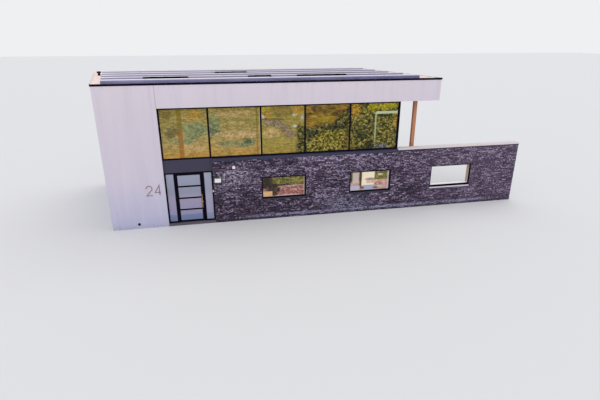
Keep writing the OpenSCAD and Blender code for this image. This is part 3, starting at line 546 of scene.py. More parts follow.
def window_glass_finish():
    """Clear glass with a painted reflection and a painted view through it: green above and warm
    below, paler in the second window.
    """
    f = Finish("window_glass", 0.06, Specular_IOR_Level=0.4, Coat_Weight=0.2, Coat_Roughness=0.03)
    z = (f.z - WINDOW_Z[0]) / (WINDOW_Z[1] - WINDOW_Z[0])
    grain = f.noise((10, 10, 13), 4.0, 0.75)
    ragged = (f.noise((3.4, 3.4, 6), 5.0, 0.7, 0.3) - 0.5) * 3.0

    def area(left, right, low, high, soft=0.03):
        """1 on a rectangle in x and z, fading over a soft edge."""
        half = soft / 2
        return (f.x.span(left - soft, left + soft, right - soft, right + soft)
                * z.span(low - half, low + half, high - half, high + half))

    green = f.ramp(grain, (0.38, 66, 62, 16), (0.50, 112, 106, 40), (0.64, 166, 154, 84))
    warm = f.ramp(grain, (0.38, 124, 70, 64), (0.50, 164, 104, 96), (0.64, 214, 170, 160))
    shade = f.ramp(grain, (0.42, 14, 8, 6), (0.54, 52, 36, 20), (0.68, 126, 100, 76))
    rose = f.mix(grain.rise(0.4, 0.6), (206, 168, 160), (226, 196, 186))
    sand = f.mix(grain.rise(0.45, 0.6), (226, 178, 118), (230, 196, 152))
    clay = f.mix(grain.rise(0.4, 0.6), (196, 138, 118), (230, 192, 170))
    cream, pearl, haze = (255, 240, 212), (198, 194, 214), (206, 190, 180)
    tint = f.mix((z + ragged * 0.03).rise(0.50, 0.56), warm, green)
    tint = ovals(f, tint, z, ragged, (
        (6.56, 0.76, 0.34, 0.40, shade, 0.97), (6.88, 0.38, 0.30, 0.34, shade, 0.97),
        (7.70, 0.53, 0.60, 0.05, rose, 0.80), (7.55, 0.05, 0.80, 0.08, rose, 0.80),
        (7.35, 0.58, 0.46, 0.045, shade, 0.80)))
    # A painted shadow line between the green and the warm part.
    seam = z.near(0.55, 0.06) * f.x.span(6.7, 6.9, 7.5, 8.4) * grain.rise(0.40, 0.52)
    second = f.x > 10.3
    tint = f.over(
        tint,
        (area(6.40, 6.84, 0.04, 0.31) * 0.95, sand),
        (seam * 0.8, (44, 28, 12)),
        (f.x.near(8.29, 0.035) * 0.8, (222, 214, 192)),
        (second * z.fall(0.50, 0.56) * 0.55, rose),
        (area(10.40, 10.54, 0.44, 1.1) * 0.7, shade),
        (area(10.56, 10.87, 0.42, 1.1) * 0.95, haze),
        (area(10.89, 11.00, 0.22, 1.1) * 0.9, (62, 38, 16)),
        (area(11.01, 11.62, 0.30, 1.1) * 0.97, cream),
        (area(11.24, 12.30, 0.38, 0.53, 0.05) * 0.8, clay),
        (area(10.40, 10.92, 0.0, 0.30, 0.05) * 0.9, pearl),
        (area(11.14, 11.58, 0.03, 0.30) * 0.95, (168, 178, 208)),
        (second * f.x.near(12.28, 0.07) * 0.8, (206, 194, 198)))
    tint = ovals(f, tint, z, ragged * 0.6, (
        (11.42, 0.58, 0.28, 0.07, shade, 0.65), (11.90, 0.78, 0.14, 0.06, cream, 0.55),
        (11.03, 0.18, 0.12, 0.06, shade, 0.70), (11.70, 0.16, 0.12, 0.05, shade, 0.75),
        (11.86, 0.22, 0.14, 0.05, pearl, 0.80), (11.80, 0.36, 0.20, 0.08, warm, 0.60)))
    behind = f.y > 3.0
    tint = f.mix(behind, tint, rear_painted_reflection(f))
    # The dark spacer round the edge of each pane.
    across = f.x + behind * DEPTH * LEAN
    spacer = 1 - f.z.span(1.030, 1.036, 1.894, 1.900)
    for x in BACK_WINDOWS:
        off_middle = abs(across - x - WINDOW_W / 2)
        spacer = spacer.most(off_middle.near(WINDOW_W / 2 - 0.050, 0.026).rise(0.1, 0.3))
    return f.colour(f.mix(spacer, tint, (16, 12, 26))).see_through(0.18 * (1 - spacer))


def frosted_finish():
    """Etched glass: blue-grey above, mauve in the middle and bluer at its foot."""
    f = Finish("frosted_glass", 0.38, Coat_Weight=0.6, Coat_Roughness=0.12)
    wave = f.noise((1.2, 1.2, 0.8))
    tint = f.ramp(f.z / 2.4 + (wave - 0.5) * 0.06, (0.05, 100, 117, 157), (0.17, 107, 122, 160),
                  (0.20, 143, 138, 173), (0.52, 152, 145, 171), (0.60, 136, 138, 161),
                  (1.0, 148, 153, 172))
    f.colour(f.mix((f.x > 3.86) * 0.35, tint, (168, 170, 192)))
    return f.bump(f.noise(900, 1.0), 0.0003).see_through(0.06)


def stone_finish(name, pale, grey, grain=60.0):
    """Cast stone or concrete: fine aggregate in paler and greyer clouds, with air holes."""
    f = Finish(name, 0.8)
    cloud, fine = f.noise(1.2, 5.0, 0.6), f.noise(grain, 4.0, 0.7)
    pores = f.cells(grain * 0.9).fall(0.10, 0.18)
    f.colour(f.over(grey, (cloud * 0.6 + fine * 0.4, pale), (pores * 0.35, (120, 112, 118))))
    return f.bump(fine, 0.0015)


def gravel_finish():
    """Washed pinkish pebbles of about 30 mm, packed close, each with a tone of its own, and painted
    shade in the gaps between them.
    """
    f = Finish("roof_gravel", 0.85)
    stones = 32.0
    pick = f.node("SeparateColor", None, {"Color": f.cells(stones, "Color")})
    near = f.cells(stones)
    f.colour(f.over(
        f.ramp(pick, (0.0, 236, 210, 206), (0.4, 250, 230, 226), (0.8, 255, 246, 242),
               (1.0, 240, 226, 226)),
        # Painted shade in the gaps between the pebbles.
        (near.rise(0.45, 0.66) * 0.35, (196, 170, 168)),
        (f.noise(0.9, 4.0).rise(0.5, 0.75) * 0.15, (214, 192, 190))))
    return f.bump(near.fall(0.0, 0.7), 0.012)


def timber_finish(name, dark, light, along="z", board=0.0):
    """Stained timber with its grain along one axis, in boards if a width is given."""
    f = Finish(name, 0.55, Coat_Weight=0.15, Coat_Roughness=0.4)
    stretch = {"z": (34, 34, 2.2), "x": (2.2, 34, 34)}[along]
    grain = f.noise(stretch, 5.0, 0.65, 0.6)
    fibre = f.noise(tuple(part * 6 for part in stretch), 2.0)
    tint = f.mix(grain * 0.75 + fibre * 0.25, dark, light)
    if board:
        strip = (f.y / board).floor()
        seam = abs(f.y / board - strip - 0.5) > 0.485
        tint = f.over(tint, (f.chance(strip, 3.0, 0.0) * 0.45, dark), (seam * 0.8, (52, 40, 30)))
        # White plaster on the underside of the floor.
        tint = f.mix(f.z > STOREY_Z - 0.02, (228, 224, 220), tint)
    return f.colour(tint).bump(grain, 0.0012)


def metal_finish(name, tint, dull, roughness, metallic=0.9):
    """Bare metal, brushed and a little dulled."""
    f = Finish(name, roughness, Metallic=metallic)
    brush = f.noise((90, 90, 3))
    f.colour(f.mix(f.noise(6, 4.0) * 0.6, tint, dull))
    f.put("Roughness", roughness - 0.08 + brush * 0.2)
    return f.bump(brush, 0.0003)


def plastic_finish():
    """Moulded plastic, faintly dirty where rain collects."""
    f = Finish("white_plastic", 0.42)
    dirt = f.noise((14, 14, 5), 4.0).rise(0.5, 0.75)
    f.colour(f.mix(dirt * 0.25, (226, 224, 224), (176, 170, 170)))
    return f.bump(f.noise(700, 1.0), 0.0002)


def plate_finish():
    """Coated sheet of the wind plates, lavender-blue, with a paler line along the fold, a painted
    highlight on the top lip, and painted shade that greys the rows further back.
    """
    f = Finish("plate_coat", 0.42, Metallic=0.25)
    cloud = f.noise((1.1, 1.1, 3.0), 4.0, 0.6)
    runs = f.noise((20, 20, 3), 4.0, 0.65)
    f.colour(f.over(
        f.mix(cloud.rise(0.34, 0.66), (84, 82, 120), (102, 100, 140)),
        (runs.rise(0.52, 0.75) * 0.35, (88, 84, 110)),
        # Painted shade: the rows further back are greyer.
        (f.y.rise(0.9, 1.5) * 0.55, (128, 122, 136)),
        (f.z.near(GRAVEL_Z + 0.091, 0.007) * 0.5, (156, 152, 178)),
        # Painted highlight on the top lip.
        (f.z.rise(GRAVEL_Z + 0.118, GRAVEL_Z + 0.122) * 0.8, (196, 192, 210))))
    return f.bump(f.noise(420, 2.0), 0.0004)


def solar_finish():
    """Cells under glass, ten by six on each module, with thin bars across every cell."""
    f = Finish("solar_cells", 0.16, Specular_IOR_Level=0.5)
    u, v, _ = f.parts(f.node("TexCoord", output="UV"))

    def lines(steps, low, high):
        """1 on thin lines between even steps."""
        return abs(steps % 1.0 - 0.5).rise(low, high)

    across, up = u * 10.0, v * 6.0
    dust = f.noise(1.4, 5.0, 0.65)
    f.colour(f.over(
        f.mix(f.noise(24, 2.0), (24, 28, 52), (44, 50, 84)),
        (lines(up * 3.0, 0.465, 0.49) * 0.45, (132, 136, 160)),
        (lines(across, 0.470, 0.492).most(lines(up, 0.470, 0.492)) * 0.65, (120, 122, 146)),
        (dust.rise(0.45, 0.8) * 0.22, (134, 130, 136))))
    return f.put("Roughness", 0.12 + dust * 0.16)


def rubber_finish():
    f = Finish("black_rubber", 0.7)
    return f.colour(f.mix(f.noise(30), (14, 14, 18), (34, 33, 40)))


def opening_finish():
    """Painted sunlight, tan with a grain, on the sides and head of the garden opening, and a white
    inner sill.
    """
    f = Finish("opening_painted_sunlight", 0.6)
    grain = f.noise((30, 30, 4), 4.0)
    f.colour(f.mix(f.z < OPENING_Z[0] + OPENING_FOOT,
                   f.mix(grain, (168, 146, 134), (204, 184, 170)),
                   f.mix(grain, (232, 228, 232), (246, 243, 246))))
    return f.bump(grain, 0.0008)


FINISHES = {
    "render": render_finish(),
    "wall": wall_finish(),
    "concrete": stone_finish("concrete", (150, 144, 142), (112, 106, 110), 45.0),
    "step": stone_finish("paved_step", (96, 88, 100), (66, 58, 72), 38.0),
    "pale_stone": stone_finish("pale_cast_stone", (222, 212, 212), (188, 178, 184)),
    "bright_stone": stone_finish("white_cast_stone", (214, 208, 218), (184, 176, 192)),
    "slate": coat_finish("slate_coat", (52, 49, 68), (64, 60, 82), 0.5),
    "band": coat_finish("band_coat", (46, 46, 70), (60, 60, 86), 0.45),
    "dark": coat_finish("dark_coat", (5, 2, 14), (18, 13, 34), 0.5, gloss=0.05, dusty=0.03),
    "trim": trim_finish(),
    # Near black: painted shade in the gaps between the rows.
    "tray": coat_finish("black_tray_painted_shade", (2, 2, 4), (9, 8, 12), 0.8, gloss=0.02, dusty=0.0),
    "ribbon_glass": ribbon_glass_finish(),
    "side_glass": side_glass_finish(),
    "window_glass": window_glass_finish(),
    "frosted": frosted_finish(),
    "gravel": gravel_finish(),
    "boards": timber_finish("oiled_boards", (120, 92, 60), (176, 142, 100), "x", 0.14),
    "post": timber_finish("stained_post", (132, 78, 52), (208, 144, 106)),
    "lining": coat_finish("white_lining", (206, 204, 208), (226, 224, 228), 0.5, fleck=1.0),
    "opening": opening_finish(),
    "aluminium": metal_finish("aluminium", (206, 206, 214), (164, 164, 176), 0.45),
    "module_frame": metal_finish("module_frame", (236, 232, 242), (212, 208, 224), 0.55, 0.3),
    "brass": metal_finish("brushed_brass", (214, 184, 132), (168, 136, 92), 0.30),
    "plastic": plastic_finish(),
    "cells": solar_finish(),
    "plate": plate_finish(),
    "rubber": rubber_finish(),
    "number": coat_finish("number_coat", (136, 114, 112), (160, 138, 134), 0.6),
}

NODE_FINISH = {
    "render": "white_wall left_wall back_white_wall entry_lintel upper_side_wall ceiling"
              " front_fascia side_fascia back_fascia",
    "wall": "front_brick_wall right_brick_wall back_brick_wall garden_wall",
    "concrete": "ground_slab roof_slab",
    "step": "entry_step",
    "boards": "first_floor",
    "band": "sill_bands",
    "slate": "spandrel_panel window_sills",
    "dark": "ribbon_frame back_ribbon_frame side_window_frame entry_frame front_door"
            " window_frames wall_vent opening_frame roof_vent",
    "trim": "roof_trim",
    "tray": "ballast_trays",
    "opening": "opening_lining",
    "ribbon_glass": "ribbon_glass",
    "side_glass": "side_window_glass back_ribbon_glass",
    "window_glass": "window_glass",
    "frosted": "sidelight_glass door_glass",
    "gravel": "roof_gravel",
    "module_frame": "solar_panels",
    "aluminium": "door_hinges door_hinge_leaves post_shoe",
    "plate": "solar_rails",
    "brass": "door_handle",
    "lining": "window_linings",
    "pale_stone": "wall_coping",
    "bright_stone": "opening_sill",
    "post": "terrace_post",
    "plastic": "wall_lamp door_bell sensor_box",
}
for finish, names in NODE_FINISH.items():
    for name in names.split():
        piece = nodes[name]
        if not piece.material_slots:
            piece.data.materials.append(None)
        for material_slot in piece.material_slots:
            material_slot.link = "OBJECT"
            material_slot.material = FINISHES[finish].material


# ---- Modelling ----

def take(*pieces):
    """Makes these the only selected pieces, the first one active."""
    deselect_all()
    for piece in pieces:
        piece.select_set(True)
    bpy.context.view_layer.objects.active = pieces[0]


def added(name, primitive, stretch=None, **settings):
    """A primitive, named, with its place and its stretch put into its mesh."""
    deselect_all()
    primitive(**settings)
    piece = bpy.context.object
    piece.name = piece.data.name = name
    if stretch:
        piece.scale = stretch
    take(piece)
    bpy.ops.object.transform_apply(location=True, rotation=True, scale=True)
    return piece


def block(name, x, y, z):
    """A block between two values along each axis."""
    spans = (x, y, z)
    return added(name, bpy.ops.mesh.primitive_cube_add, size=1,
                 location=[sum(span) / 2 for span in spans],
                 scale=[span[1] - span[0] for span in spans])


def work(piece, test, *steps):
    """Runs edit-mode operators, each with its settings, on the faces that pass the test."""
    take(piece)
    mesh = piece.data
    for group in (mesh.vertices, mesh.edges):
        for part in group:
            part.select = False
    for face in mesh.polygons:
        face.select = bool(test(face))
    bpy.ops.object.mode_set(mode="EDIT")
    for operator, settings in steps:
        operator(**settings)
    bpy.ops.object.mode_set(mode="OBJECT")
    return piece


def inset(thickness, depth=0.0):
    """A step of work: insets the faces, and raises or sinks them by a depth."""
    return bpy.ops.mesh.inset, dict(thickness=thickness, depth=depth)


def towards(x, y, z):
    aim = Vector((x, y, z))
    return lambda face: face.normal.dot(aim) > 0.9


def anywhere(face):
    return True


def finish_with(piece, kind, **settings):
    """Adds a modifier and applies it."""
    take(piece)
    modifier = piece.modifiers.new(kind.title(), kind)
    for name, value in settings.items():
        setattr(modifier, name, value)
    bpy.ops.object.modifier_apply(modifier=modifier.name)
    return piece


def soften(piece, width, segments=1):
    return finish_with(piece, "BEVEL", width=width, segments=segments, limit_method="ANGLE")


def repeat(piece, count, step):
    return finish_with(piece, "ARRAY", fit_type="FIXED_COUNT", count=count,
                       use_relative_offset=False, use_constant_offset=True,
                       constant_offset_displace=step)


def copied(piece, matrix):
    """A copy with a mesh of its own, moved in its mesh."""
    twin = piece.copy()
    twin.data = piece.data.copy()
    bpy.context.scene.collection.objects.link(twin)
    twin.data.transform(matrix)
    return twin


def joined(pieces, name):
    take(*pieces)
    if len(pieces) > 1:
        bpy.ops.object.join()
    pieces[0].name = pieces[0].data.name = name
    return pieces[0]


def cut(piece, point, normal):
    """Cuts off what lies beyond a plane and closes the cut."""
    return work(piece, anywhere, (bpy.ops.mesh.bisect, dict(
        plane_co=point, plane_no=normal, use_fill=True, clear_outer=True)))


def move(x=0.0, y=0.0, z=0.0):
    return Matrix.Translation((x, y, z))


def turned(angle, axis="Z"):
    return Matrix.Rotation(angle, 4, axis)


HOME = Matrix.Translation(-ORIGIN)
BACK = move(-DEPTH * LEAN, DEPTH) @ Matrix.Scale(-1, 4, (0, 1, 0))
ALONG_SPLAY = Matrix.Identity(4)
ALONG_SPLAY[0][1] = -LEAN


def at_back(piece):
    """Carries a piece from the front to the same place at the back, as seen in a mirror."""
    piece.data.transform(BACK)
    return work(piece, anywhere, (bpy.ops.mesh.normals_make_consistent, dict(inside=False)))


def done(piece, finish, body="house"):
    """Puts a finished piece in its place in the frame, and on its body."""
    piece.data.transform(HOME)
    piece.data.materials.clear()
    piece.data.materials.append(FINISHES[finish].material)
    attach(piece, body)
    return piece


# ---- Brickwork ----

PROUD, CHAMFER, BED, UNEVEN = 0.007, 0.0028, 0.004, 0.0018
BOND = (0, 0.5, 0.25, 0.75)
UNIT_COLUMNS = 5
UNIT_L = UNIT_COLUMNS * PITCH
COURSES = len(BOND)


def brick_unit():
    """Four courses of five bricks each, stepped as the bond is, each one set in or out a little."""
    brick = block("brick", (0, BRICK_L), (CHAMFER - PROUD, BED), (0, BRICK_H))
    work(brick, towards(0, -1, 0), inset(CHAMFER, CHAMFER))
    bricks = []
    for course, shift in enumerate(BOND):
        for column in range(UNIT_COLUMNS):
            set_in = UNEVEN * math.sin(37.0 * course + 11.0 * column) ** 2
            bricks.append(copied(brick, move((column + shift) * PITCH, set_in, course * COURSE)))
    bpy.data.objects.remove(brick)
    return joined(bricks, "brick_unit")


UNIT = brick_unit()


def laid(span, rise):
    """Brickwork on the plane y = 0 between two places along it and two heights, cut to fit."""
    first = math.floor(span[0] / UNIT_L) - 1
    course = COURSES * math.floor(rise[0] / COURSE / COURSES)
    field = copied(UNIT, move(first * UNIT_L, 0, course * COURSE))
    repeat(field, math.ceil(span[1] / UNIT_L) - first + 1, (UNIT_L, 0, 0))
    repeat(field, math.ceil((rise[1] / COURSE - course) / COURSES) + 1, (0, 0, COURSES * COURSE))
    for point, normal in (((span[0], 0, 0), (-1, 0, 0)), ((span[1], 0, 0), (1, 0, 0)),
                          ((0, 0, rise[0]), (0, 0, -1)), ((0, 0, rise[1]), (0, 0, 1))):
        cut(field, point, normal)
    return field


def around(span, top, windows, hole, width=WINDOW_W):
    """The patches of a wall round its windows."""
    patches, start = [], span[0]
    for window in windows:
        end = window + width
        patches += [((start, window), (0, top)), ((window, end), (0, hole[0])),
                    ((window, end), (hole[1], top))]
        start = end
    return patches + [((start, span[1]), (0, top))]


def brickwork(name, patches, origin=(0.0, 0.0), angle=0.0):
    """Lays patches along a line that starts at an origin and is turned from the front's."""
    wall = joined([laid(*patch) for patch in patches], name)
    wall.data.transform(move(origin[0], origin[1]) @ turned(angle))
    FINISHES[name] = brick_finish(name + "_finish", origin, angle)
    return done(wall, name)


SILL_FOOT = WINDOW_Z[0] - 0.030
UNDER_BAND = BRICK_TOP - 0.013
WINDOW_HOLE = (SILL_FOOT, WINDOW_Z[1])
OPENING_W = OPENING_X[1] - OPENING_X[0]
brickwork("front_brickwork", around((ENTRY_R, HOUSE_W), UNDER_BAND, FRONT_WINDOWS, WINDOW_HOLE))
brickwork("garden_brickwork", around((HOUSE_W, GARDEN_END + PROUD), GARDEN_TOP, OPENING_X[:1],
                                     OPENING_Z, OPENING_W))
brickwork("garden_brickwork_back",
          around((-PROUD, GARDEN_END - HOUSE_W), GARDEN_TOP, (GARDEN_END - OPENING_X[1],),
                 OPENING_Z, OPENING_W),
          (GARDEN_END, WALL), math.pi)
brickwork("garden_brickwork_end", [((0, WALL), (0, GARDEN_TOP))], (GARDEN_END, 0), math.pi / 2)
brickwork("side_brickwork", [((WALL / math.cos(SPLAY), DEPTH / math.cos(SPLAY)), (0, BRICK_TOP))],
          (HOUSE_W, 0), math.pi / 2 + SPLAY)
brickwork("back_brickwork",
          around((0, HOUSE_W - WHITE_W), UNDER_BAND,
                 sorted(HOUSE_W - x - WINDOW_W for x in BACK_WINDOWS), WINDOW_HOLE),
          (HOUSE_W - DEPTH * LEAN, DEPTH), math.pi)
bpy.data.objects.remove(UNIT)


# ---- Solar modules ----

MODULE_L, MODULE_W, MODULE_T = 1.635, 1.000, 0.035
MODULE_RIM, MODULE_GAP, MODULE_DROP = 0.012, 0.020, 0.0015
TILT, MODULE_LIFT, PLATE_LEAN, ROW_GAP = math.radians(6.5), 0.140, 0.035, 0.170
ROW_REACH = PLATE_LEAN + MODULE_W * math.cos(TILT)
ROWS, MODULES = 5, 8
SHEET_T, SHEET_LIFT, SHEET_PLAY = 0.0010, 0.0012, 0.001
# How far the first row starts in from the trim, to the right and to the back.
ROW_START = (0.350, 0.070)
CLAMP_REACH, CLAMP_HALF, CLAMP_T, CLAMP_AT = 0.009, 0.025, 0.004, (0.22, 0.78)
# The covers on the wind plates, and the radius, depth, place and sides of washers and screws.
COVER_X, COVER_Y, COVER_Z, COVER_LIFT = (-0.035, 0.035), (-0.0012, 0.0005), (0.003, 0.083), 0.003
PLATE_ANGLE = math.atan2(0.016, 0.0864)
SCREW_Z, WASHER, SCREW = (0.022, 0.064), (0.0075, 0.0012, 0.0018, 20), (0.0045, 0.0035, 0.0030, 6)
# Row, left end and length of each ballast tray, and the sizes of trays and blocks.
# The trays and blocks are near black: painted shade in the dark gaps between the rows.
TRAYS = ((0, 1.780, 1.800), (0, 6.070, 1.000), (0, 8.200, 2.240), (2, 4.720, 1.510))
TRAY_W, TRAY_H, TRAY_END, BLOCK_L, BLOCK_GAP = 0.110, 0.135, 0.010, 0.25, 0.010
BLOCK_SIDE, BLOCK_SUNK, BLOCK_PROUD, BLOCK_STEP = 0.012, 0.023, 0.021, 0.003


def row_foot(row):
    """The left end of a row's wind plate, where it stands on the gravel."""
    y = TRIM_IN + ROW_START[1] + row * (ROW_REACH + ROW_GAP)
    return move(TRIM_IN + ROW_START[0] - y * LEAN, y, GRAVEL_Z)


def cell_sheet():
    """The glass of one module, as it lies between the rims."""
    sheet = added("cell_sheet", bpy.ops.mesh.primitive_plane_add, size=1,
                  location=(MODULE_L / 2, MODULE_W / 2, MODULE_T - MODULE_DROP + SHEET_LIFT),
                  stretch=(MODULE_L - MODULE_GAP - 2 * MODULE_RIM - SHEET_PLAY,
                           MODULE_W - 2 * MODULE_RIM - SHEET_PLAY, 1))
    return finish_with(sheet, "SOLIDIFY", thickness=SHEET_T, offset=-1)


def clamp():
    """A clamp that holds the rims of two modules, over the gap between them."""
    half = MODULE_GAP / 2 + CLAMP_REACH
    piece = block("clamp", (-half, half), (-CLAMP_HALF, CLAMP_HALF),
                  (MODULE_T, MODULE_T + CLAMP_T))
    return soften(work(piece, towards(0, 0, 1), inset(0.012, -0.002)), 0.001)


def plate_cover():
    """A cover over the joint of two wind plates, with two screw heads on washers."""
    parts = [soften(block("plate_cover", COVER_X, COVER_Y, COVER_Z), 0.0004)]
    for z in SCREW_Z:
        for radius, depth, out, sides in (WASHER, SCREW):
            parts.append(soften(added("plate_screw", bpy.ops.mesh.primitive_cylinder_add,
                                      vertices=sides, radius=radius, depth=depth,
                                      location=(0, -out, z), rotation=(math.pi / 2, 0, 0)), 0.0004))
    cover = joined(parts, "plate_cover")
    cover.data.transform(move(0, 0, COVER_LIFT) @ turned(-PLATE_ANGLE, "X"))
    return cover


def ballast_blocks():
    """Worn blocks that stand in the trays behind the rows, a little proud of their rims, near black
    as painted shade.
    """
    blocks = []
    for row, x, length in TRAYS:
        y = row_foot(row).translation.y + ROW_REACH + (ROW_GAP - TRAY_W) / 2
        count = round(length / BLOCK_L)
        step = (length - 2 * TRAY_END) / count
        for index in range(count):
            left, rim = x + TRAY_END + index * step, GRAVEL_Z + TRAY_H
            stone = block("ballast_block", (left + BLOCK_GAP / 2, left + step - BLOCK_GAP / 2),
                          (y + BLOCK_SIDE, y + TRAY_W - BLOCK_SIDE),
                          (rim - BLOCK_SUNK, rim + BLOCK_PROUD + BLOCK_STEP * (index % 2)))
            work(stone, towards(0, 0, 1), inset(0.010, 0.002))
            blocks.append(soften(stone, 0.003))
    return joined(blocks, "ballast_blocks")


done(ballast_blocks(), "tray")

sheet, grip, cover = cell_sheet(), clamp(), plate_cover()
for row in range(ROWS):
    foot = row_foot(row)
    tilted = foot @ move(0, PLATE_LEAN, MODULE_LIFT) @ turned(-TILT, "X")
    sheets = [copied(sheet, tilted @ move(index * MODULE_L)) for index in range(MODULES)]
    done(joined(sheets, f"solar_glass_{row}"), "cells")
    clamps = [copied(grip, tilted @ move(index * MODULE_L, along))
              for index in range(1, MODULES) for along in CLAMP_AT]
    done(joined(clamps, f"solar_clamps_{row}"), "aluminium")
    covers = [copied(cover, foot @ move(index * MODULE_L)) for index in range(1, MODULES)]
    done(joined(covers, f"plate_covers_{row}"), "plate")
for start in (sheet, grip, cover):
    bpy.data.objects.remove(start)


# ---- Seals round the panes ----

SEAL_T, SEAL_W = 0.004, 0.007
# The bays of the ribbon window, the width of its bars, and that of the post at its right end.
BAYS = (1.965, 2.170, 1.905, 2.020, 2.310)
BAR, POST = 0.060, 0.100
PANE_FACE, WINDOW_PANE_FACE, DOOR_PANE_FACE = 0.140 - 0.012, 0.070 - 0.012, 0.150 - 0.010
RIBBON_RISE = (STOREY_Z + BAR, CEILING_Z - BAR)
WINDOW_BAR = 0.050
SIDE_WINDOW_Y, SIDE_PANE_IN = (0.200, 3.000), 0.048
SIDELIGHT_RISE, LEAF_GAP = (0.160, 2.300), 0.058
# The door leaf, and the widths of its frame: at the hinges, at the lock, above and below, and
# between its panes.
DOOR_X, DOOR_Z, DOOR_H = (2.725, 3.855), 0.108, 2.184
DOOR_HINGE_W, DOOR_LOCK_W, DOOR_RAIL, DOOR_BAR, DOOR_PANES = 0.085, 0.105, 0.070, 0.055, 4


def seal(x, z, y):
    """A rubber seal round a light that spans x and z, against the pane's face at y."""
    size = (x[1] - x[0], z[1] - z[0])
    ring = added("seal", bpy.ops.mesh.primitive_plane_add, size=1,
                 location=(sum(x) / 2, y, sum(z) / 2), rotation=(math.pi / 2, 0, 0),
                 stretch=(size[0], size[1], 1))
    work(ring, anywhere, inset(SEAL_W))
    work(ring, lambda face: face.area > size[0] * size[1] * 0.5,
         (bpy.ops.mesh.delete, dict(type="FACE")))
    return finish_with(ring, "SOLIDIFY", thickness=SEAL_T, offset=1)


def seals(lights, rise, face, name):
    """The seals of several lights of one height, in one piece."""
    return joined([seal(light, rise, face) for light in lights], name)


def bay_lights(last):
    """Left and right edge of each light of the ribbon window, whose last bar has its own width."""
    edges = [WHITE_W]
    for bay in BAYS:
        edges.append(edges[-1] + bay)
    lights = [(left + BAR / 2, right - BAR / 2) for left, right in zip(edges, edges[1:])]
    lights[0] = (WHITE_W + BAR, lights[0][1])
    lights[-1] = (lights[-1][0], HOUSE_W - last)
    return lights


def window_seals(places, name):
    left, right = WINDOW_BAR, WINDOW_W - WINDOW_BAR
    return seals([(x + left, x + right) for x in places],
                 (WINDOW_Z[0] + WINDOW_BAR, WINDOW_Z[1] - WINDOW_BAR), WINDOW_PANE_FACE, name)


def side_seals():
    """The seals of the side glazing, which follows the splay."""
    start, end = SIDE_WINDOW_Y
    middle = (start + end) / 2
    rings = []
    for low, high in ((start + BAR, middle - BAR / 2), (middle + BAR / 2, end - BAR)):
        ring = seal([edge / math.cos(SPLAY) for edge in (low, high)], RIBBON_RISE, 0)
        ring.data.transform(move(HOUSE_W - SIDE_PANE_IN) @ turned(math.pi / 2 + SPLAY))
        rings.append(ring)
    return joined(rings, "side_seals")


def door_seals():
    """The seals of the door's four panes."""
    light = (DOOR_X[0] + DOOR_HINGE_W, DOOR_X[1] - DOOR_LOCK_W)
    pane_h = (DOOR_H - 2 * DOOR_RAIL - (DOOR_PANES - 1) * DOOR_BAR) / DOOR_PANES
    feet = [DOOR_Z + DOOR_RAIL + index * (pane_h + DOOR_BAR) for index in range(DOOR_PANES)]
    return joined([seal(light, (low, low + pane_h), DOOR_PANE_FACE) for low in feet], "door_seals")


for ring in (seals(bay_lights(POST), RIBBON_RISE, PANE_FACE, "ribbon_seals"),
             at_back(seals(bay_lights(BAR), RIBBON_RISE, PANE_FACE, "back_ribbon_seals")),
             window_seals(FRONT_WINDOWS, "window_seals"),
             at_back(window_seals(BACK_WINDOWS, "back_window_seals")),
             side_seals(),
             seals(((WHITE_W + BAR, DOOR_X[0] - LEAF_GAP), (DOOR_X[1] + LEAF_GAP, ENTRY_R - BAR)),
                   SIDELIGHT_RISE, PANE_FACE, "sidelight_seals")):
    done(ring, "rubber")
done(door_seals(), "rubber", "door")


# ---- House number ----

NUMBER_W, NUMBER_H, NUMBER_STEP, STROKE, NUMBER_T = 0.235, 0.42, 0.345, 0.038, 0.012
NUMBER_AT = (1.53, 0.002, 1.46)
# Where the 4 has its stem and its crossbar, as shares of its width and height.
STEM, CROSSBAR = 0.78, 0.30


def stroke(points):
    """A flat bar of even width that follows points in x and z, and lies on the plane y = 0."""
    line = added("stroke", bpy.ops.mesh.primitive_plane_add, size=0.01,
                 location=(points[0][0], 0, points[0][1]))
    bpy.context.tool_settings.mesh_select_mode = (True, False, False)
    bpy.ops.object.mode_set(mode="EDIT")
    bpy.ops.mesh.select_all(action="SELECT")
    bpy.ops.mesh.merge(type="CENTER")
    for start, end in zip(points, points[1:]):
        bpy.ops.mesh.extrude_region_move(
            TRANSFORM_OT_translate={"value": (end[0] - start[0], 0, end[1] - start[1])})
    bpy.ops.mesh.select_all(action="SELECT")
    bpy.ops.mesh.extrude_region_move(TRANSFORM_OT_translate={"value": (0, -NUMBER_T, 0)})
    bpy.ops.object.mode_set(mode="OBJECT")
    bpy.context.tool_settings.mesh_select_mode = (False, False, True)
    return finish_with(line, "SOLIDIFY", thickness=STROKE, offset=0, use_even_offset=True)


def house_number():
    """A plain 2 and 4, 0.42 m high, standing just off the render."""
    w, h, radius = NUMBER_W, NUMBER_H, NUMBER_W / 2
    stem, crossbar = STEM * w, CROSSBAR * h
    turns = [math.radians(angle) for angle in range(0, 211, 15)]
    arc = [(radius - radius * math.cos(turn), h - radius + radius * math.sin(turn))
           for turn in turns]
    two = stroke(arc + [(0, 0), (w, 0)])
    four = stroke([(stem, 0), (stem, h), (0, crossbar), (w, crossbar)])
    four.data.transform(move(NUMBER_STEP))
    number = soften(joined([two, four], "house_number"), 0.0015)
    number.data.transform(move(*NUMBER_AT))
    return number


done(house_number(), "number")


# ---- Fittings ----

TRIM_FOOT = ROOF_Z - 0.011
TRIM_TOP = ROOF_Z + 0.0505
# The covers over the trim's joints: middles, half width, the face they lie on, and thickness.
JOINTS, JOINT_HALF, TRIM_FACE, JOINT_T = (2.9, 5.8, 8.7, 11.6), 0.05, -0.020, 0.0015
